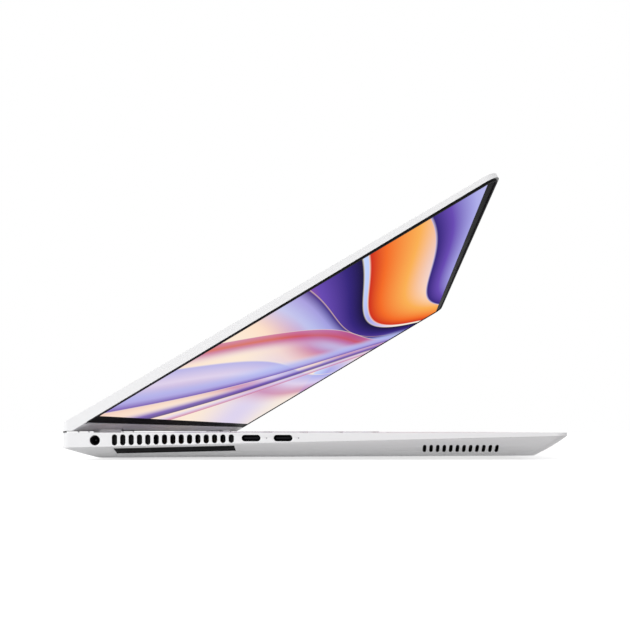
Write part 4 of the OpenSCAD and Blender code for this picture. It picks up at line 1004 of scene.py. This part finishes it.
@dataclass
class Keyboard:
    """The rows of keys, the frame round them and the printing on them.

    The ring and the bar are those of the power button's mark, and the turns are
    those of the arrow keys, from left to right and from front to back. Keycaps
    share a column where their left edges agree to the given decimals of a metre.
    """

    decimals: int = 4
    letter_size: float = 4.2
    word_size: float = 2.9
    small_size: float = 2.6
    type_steps: int = 3
    ink: float = 0.02
    edge: float = 0.3
    edge_steps: int = 3
    arrow: tuple[Point2, ...] = ((-1.2, -0.7), (1.2, -0.7), (0.0, 1.1))
    turns: tuple[float, ...] = (90.0, 180.0, 0.0, -90.0)
    ring: float = 1.3
    ring_start: float = 125.0
    ring_sweep: float = 290.0
    ring_steps: int = 28
    stroke: float = 0.28
    bar: Point2 = (0.2, 1.7)
    rows: dict[str, tuple[str, list[str]]] = field(default_factory=lambda: {
        "function_keys": ("function_row", ["esc"] + [f"F{i}" for i in range(1, 13)] + ["del"]),
        "number_keys": ("number_row", list("`1234567890-=") + ["backspace"]),
        "upper_letter_keys": ("upper_letter_row", ["tab"] + list("QWERTYUIOP[]\\")),
        "home_keys": ("home_row", ["caps"] + list("ASDFGHJKL;'") + ["enter"]),
        "lower_letter_keys": ("lower_letter_row", ["shift"] + list("ZXCVBNM,./") + ["shift"]),
        "bottom_row_keys": ("bottom_row", ["ctrl", "fn", "home", "alt", "alt", "ctrl"]),
    })

    def caps(self, node: str) -> list[Cap]:
        """Finds the separate keycaps in a node.

        Args:
            node: The CAD node.

        Returns:
            The caps, from left to right and from front to back.
        """
        found = []
        for points in islands(node):
            xs, ys, zs = zip(*points)
            found.append(Cap(min(xs), max(xs), min(ys), max(ys), max(zs)))
        return sorted(found, key=lambda cap: (round(cap.left, self.decimals), cap.front))

    def type_size(self, node: str, text: str) -> float:
        """Chooses the size of a key's type.

        Args:
            node: The CAD node with the keys.
            text: The word on the key.

        Returns:
            The height of the type, in millimetres.
        """
        if node == "function_keys":
            return self.small_size
        return self.letter_size if len(text) == 1 else self.word_size

    def word(self, text: str, size: float) -> bpy.types.Mesh:
        """Makes the mesh of a short word, lying flat round its middle.

        Args:
            text: The word.
            size: Height of its type, in millimetres.

        Returns:
            The mesh.
        """
        curve = bpy.data.curves.new("type", "FONT")
        curve.body = text
        curve.size = size * MM
        curve.extrude = self.ink * MM / 2
        curve.align_x = "CENTER"
        curve.align_y = "CENTER"
        curve.resolution_u = self.type_steps
        holder = bpy.data.objects.new("type", curve)
        mesh = bpy.data.meshes.new_from_object(holder)
        bpy.data.objects.remove(holder)
        return mesh

    def print_on(self, node: str, body: str, words: list[str]) -> None:
        """Prints one row of keys.

        Args:
            node: The CAD node with the keys.
            body: The body that the row is.
            words: One word for each key.
        """
        sheet = bmesh.new()
        for cap, text in zip(self.caps(node), words, strict=True):
            mesh = self.word(text, self.type_size(node, text))
            mesh.transform(Matrix.Translation(cap.middle + Vector((0, 0, self.ink * MM / 2))))
            sheet.from_mesh(mesh)
            bpy.data.meshes.remove(mesh)
        self.keep(sheet, f"{node}_print", body)

    def keep(self, sheet: Sheet, name: str, body: str) -> None:
        """Makes a piece of some printing.

        Args:
            sheet: The mesh.
            name: Name of the piece.
            body: The body that it rides on.
        """
        piece = make(sheet, name, Kind.PRINT.material())
        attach(piece, body)

    def plate(self, sheet: Sheet, middle: Vector, outline: list[Vector]) -> None:
        """Adds a thin plate of ink with the given outline.

        Args:
            sheet: The mesh to add to.
            middle: The place that the outline is drawn round.
            outline: Its corners, anticlockwise from above.
        """
        rise = Vector((0, 0, self.ink * MM))
        low = [sheet.verts.new(middle + corner) for corner in outline]
        high = [sheet.verts.new(middle + corner + rise) for corner in outline]
        close(sheet, low, high)

    def arrows(self) -> None:
        """Prints the arrow keys with small triangles that point their ways."""
        sheet = bmesh.new()
        for turn, cap in zip(self.turns, self.caps("arrow_keys"), strict=True):
            turned = Matrix.Rotation(math.radians(turn), 3, "Z")
            corners = [turned @ Vector((x * MM, y * MM, 0)) for x, y in self.arrow]
            self.plate(sheet, cap.middle, corners)
        self.keep(sheet, "arrow_keys_print", "arrow_cluster")

    def power_mark(self) -> None:
        """Prints the power button with an open ring and a bar."""
        middle = self.caps("power_button")[0].middle
        sheet = bmesh.new()
        half = self.stroke * MM / 2
        inner, outer = self.ring * MM - half, self.ring * MM + half
        angles = [
            math.radians(self.ring_start + self.ring_sweep * step / self.ring_steps)
            for step in range(self.ring_steps + 1)
        ]
        for first, second in zip(angles, angles[1:]):
            corners = ((inner, second), (inner, first), (outer, first), (outer, second))
            arc = [Vector((r * math.cos(a), r * math.sin(a), 0)) for r, a in corners]
            self.plate(sheet, middle, arc)
        low, high = (end * MM for end in self.bar)
        corners = ((-half, low), (half, low), (half, high), (-half, high))
        self.plate(sheet, middle, [Vector((x, y, 0)) for x, y in corners])
        self.keep(sheet, "power_button_print", "power_key")

    def build(self) -> None:
        """Dresses and prints the keyboard."""
        keys = (*self.rows, "arrow_keys", "space_bar")
        Kind.KEY.dress(*keys)
        Kind.BUTTON.dress("power_button")
        Kind.FRAME.dress("keyboard_frame")
        soften(self.edge, *keys, "power_button", segments=self.edge_steps)
        for node, (body, words) in self.rows.items():
            self.print_on(node, body, words)
        self.arrows()
        self.power_mark()


@dataclass
class Touchpad:
    """The touchpad."""

    edge: float = 0.2

    def build(self) -> None:
        """Dresses the touchpad."""
        Kind.PAD.dress("touchpad")
        soften(self.edge, "touchpad")


@dataclass
class Lid:
    """The lid with its display, bezel, gasket, camera and hinges."""

    tilt: float = LID_TILT
    edge: float = 0.25
    inner_edge: float = 0.15
    glass: Colour = (0.01, 0.01, 0.012, 1.0)

    def picture(self) -> LitPicture:
        """Lays the picture out over the display panel.

        Returns:
            The display's finish.
        """
        low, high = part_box("display_panel")
        lean = math.radians(self.tilt)
        return LitPicture(
            "lit_display",
            self.glass,
            middle=tuple((low + high) / 2),
            tilt=lean,
            width=high.x - low.x,
            height=(high.y - low.y) / math.cos(lean),
        )

    def build(self) -> None:
        """Dresses the lid and what it carries."""
        Kind.SHELL.dress("lid_shell")
        Kind.HINGE_COVER.dress("hinge_cover")
        Kind.BEZEL.dress("screen_bezel")
        Kind.GASKET_AND_SHADOW.dress("lid_gasket")
        Kind.LENS.dress("webcam")
        Kind.STEEL.dress("left_hinge_leaf", "right_hinge_leaf")
        Kind.PIN.dress("left_hinge_pin", "right_hinge_pin")
        dress(self.picture().material(), "display_panel")
        soften(self.edge, "lid_shell")
        soften(self.inner_edge, "lid_gasket", "hinge_cover")


@dataclass
class Lamp:
    """One soft square lamp of the studio, with its power in watts."""

    name: str
    place: Point
    size: float
    power: float
    aim: Point = (0.0, 0.0, 0.0)

    def build(self) -> None:
        """Hangs the lamp and turns it to what it lights."""
        data = bpy.data.lights.new(self.name, "AREA")
        data.shape = "SQUARE"
        data.size = self.size
        data.energy = self.power
        lamp = bpy.data.objects.new(self.name, data)
        lamp.location = self.place
        direction = Vector(self.aim) - Vector(self.place)
        lamp.rotation_euler = direction.to_track_quat("-Z", "Y").to_euler()
        lamp.visible_camera = False
        lamp.visible_glossy = False
        bpy.context.scene.collection.objects.link(lamp)


@dataclass
class Studio:
    """The floor, the white surroundings, the lamps and the camera.

    The floor's glow rises to full white from floor_near to floor_far, away from the computer.
    The camera's turn is in degrees, and its lens and sensor are in millimetres.
    """

    ambient: float = 0.32
    floor_tone: float = 0.62
    floor_glow: float = 0.7
    floor_size: float = 5.0
    floor_cells: int = 8
    floor_near: float = 0.4
    floor_far: float = 1.6
    eye: Point = (-498.5 * MM, -33.85 * MM, 13.86 * MM)
    turn: Point = (90.0, 0.0, -90.0)
    lens: float = 39.09
    sensor: float = 36.0
    nearest: float = 0.01
    shift: Point2 = (-0.1143, 0.1845)
    lamps: list[Lamp] = field(default_factory=lambda: [
        Lamp("side_lamp", (-1.25, 0.7, 0.85), 1.0, 17.0),
        Lamp("top_lamp", (0.2, 0.0, 1.8), 2.0, 8.5),
        Lamp("front_lamp", (0.4, -1.7, 0.9), 1.4, 5.0),
        Lamp("back_lamp", (0.3, 1.8, 0.9), 1.4, 5.0),
    ])

    def world(self) -> None:
        """Makes the surroundings white to the eye and softer as light."""
        world = bpy.data.worlds.new("white_room")
        bpy.context.scene.world = world
        graph = Graph(world)
        path = graph.add("ShaderNodeLightPath").outputs
        seen = graph.maths("MAXIMUM", path["Is Camera Ray"], path["Is Transmission Ray"])
        wide = graph.maths("MAXIMUM", seen, path["Is Glossy Ray"])
        strength = graph.between(wide, self.ambient, 1.0)
        room = graph.add("ShaderNodeBackground", {"Color": WHITE, "Strength": strength})
        graph.add("ShaderNodeOutputWorld", {"Surface": room.outputs[0]})

    def floor_paint(self) -> Material:
        """Builds the floor's finish, which glows to the eye only and is clear from beneath.

        Its glow lights nothing, so no rays are sent to look for it, which would only add speckle.

        Returns:
            The material.
        """
        graph = Graph(bpy.data.materials.new("floor_white"))
        paint = graph.add("ShaderNodeBsdfDiffuse", {"Color": scaled(WHITE, self.floor_tone)})
        path = graph.add("ShaderNodeLightPath").outputs
        seen = graph.maths("MAXIMUM", path["Is Camera Ray"], path["Is Glossy Ray"])
        measure = graph.add("ShaderNodeVectorMath", {0: graph.place()}, operation="LENGTH")
        away = measure.outputs["Value"]
        spread = graph.between(away, self.floor_glow, 1.0, self.floor_near, self.floor_far)
        inputs = {"Color": WHITE, "Strength": graph.maths("MULTIPLY", seen, spread)}
        glow = graph.add("ShaderNodeEmission", inputs)
        both = graph.add("ShaderNodeAddShader", {0: paint.outputs[0], 1: glow.outputs[0]})
        clear = graph.add("ShaderNodeBsdfTransparent")
        beneath = graph.add("ShaderNodeNewGeometry").outputs["Backfacing"]
        inputs = {0: beneath, 1: both.outputs[0], 2: clear.outputs[0]}
        sides = graph.add("ShaderNodeMixShader", inputs)
        graph.add("ShaderNodeOutputMaterial", {"Surface": sides.outputs[0]})
        graph.owner.cycles.emission_sampling = "NONE"
        return graph.owner

    def floor(self) -> None:
        """Lays a plain white floor that keeps a soft shadow and is clear from beneath."""
        sheet = bmesh.new()
        cells = self.floor_cells
        bmesh.ops.create_grid(sheet, x_segments=cells, y_segments=cells, size=self.floor_size)
        floor = make(sheet, "floor", self.floor_paint())

    def camera(self) -> None:
        """Sets the camera level with the deck, looking at the left side."""
        data = bpy.data.cameras.new("camera")
        data.lens = self.lens
        data.sensor_width = self.sensor
        data.shift_x, data.shift_y = self.shift
        data.clip_start = self.nearest
        camera = bpy.data.objects.new("camera", data)
        camera.location = self.eye
        camera.rotation_euler = tuple(math.radians(angle) for angle in self.turn)
        bpy.context.scene.collection.objects.link(camera)
        bpy.context.scene.camera = camera

    def build(self) -> None:
        """Sets the whole studio up."""
        bpy.context.scene.view_settings.view_transform = "Standard"
        self.world()
        self.floor()
        for lamp in self.lamps:
            lamp.build()
        self.camera()


def main() -> None:
    """Builds every part of the scene in order."""
    logging.basicConfig(level=logging.INFO, format="%(name)s: %(message)s")
    parts = (
        Studio(), Case(), HingeShadowStrips(), Ports(), Cooling(), Inside(), Keyboard(), Touchpad(), Lid()
    )
    for part in parts:
        part.build()
        LOG.info("%s is in place", type(part).__name__)


if __name__ == "__main__":
    main()
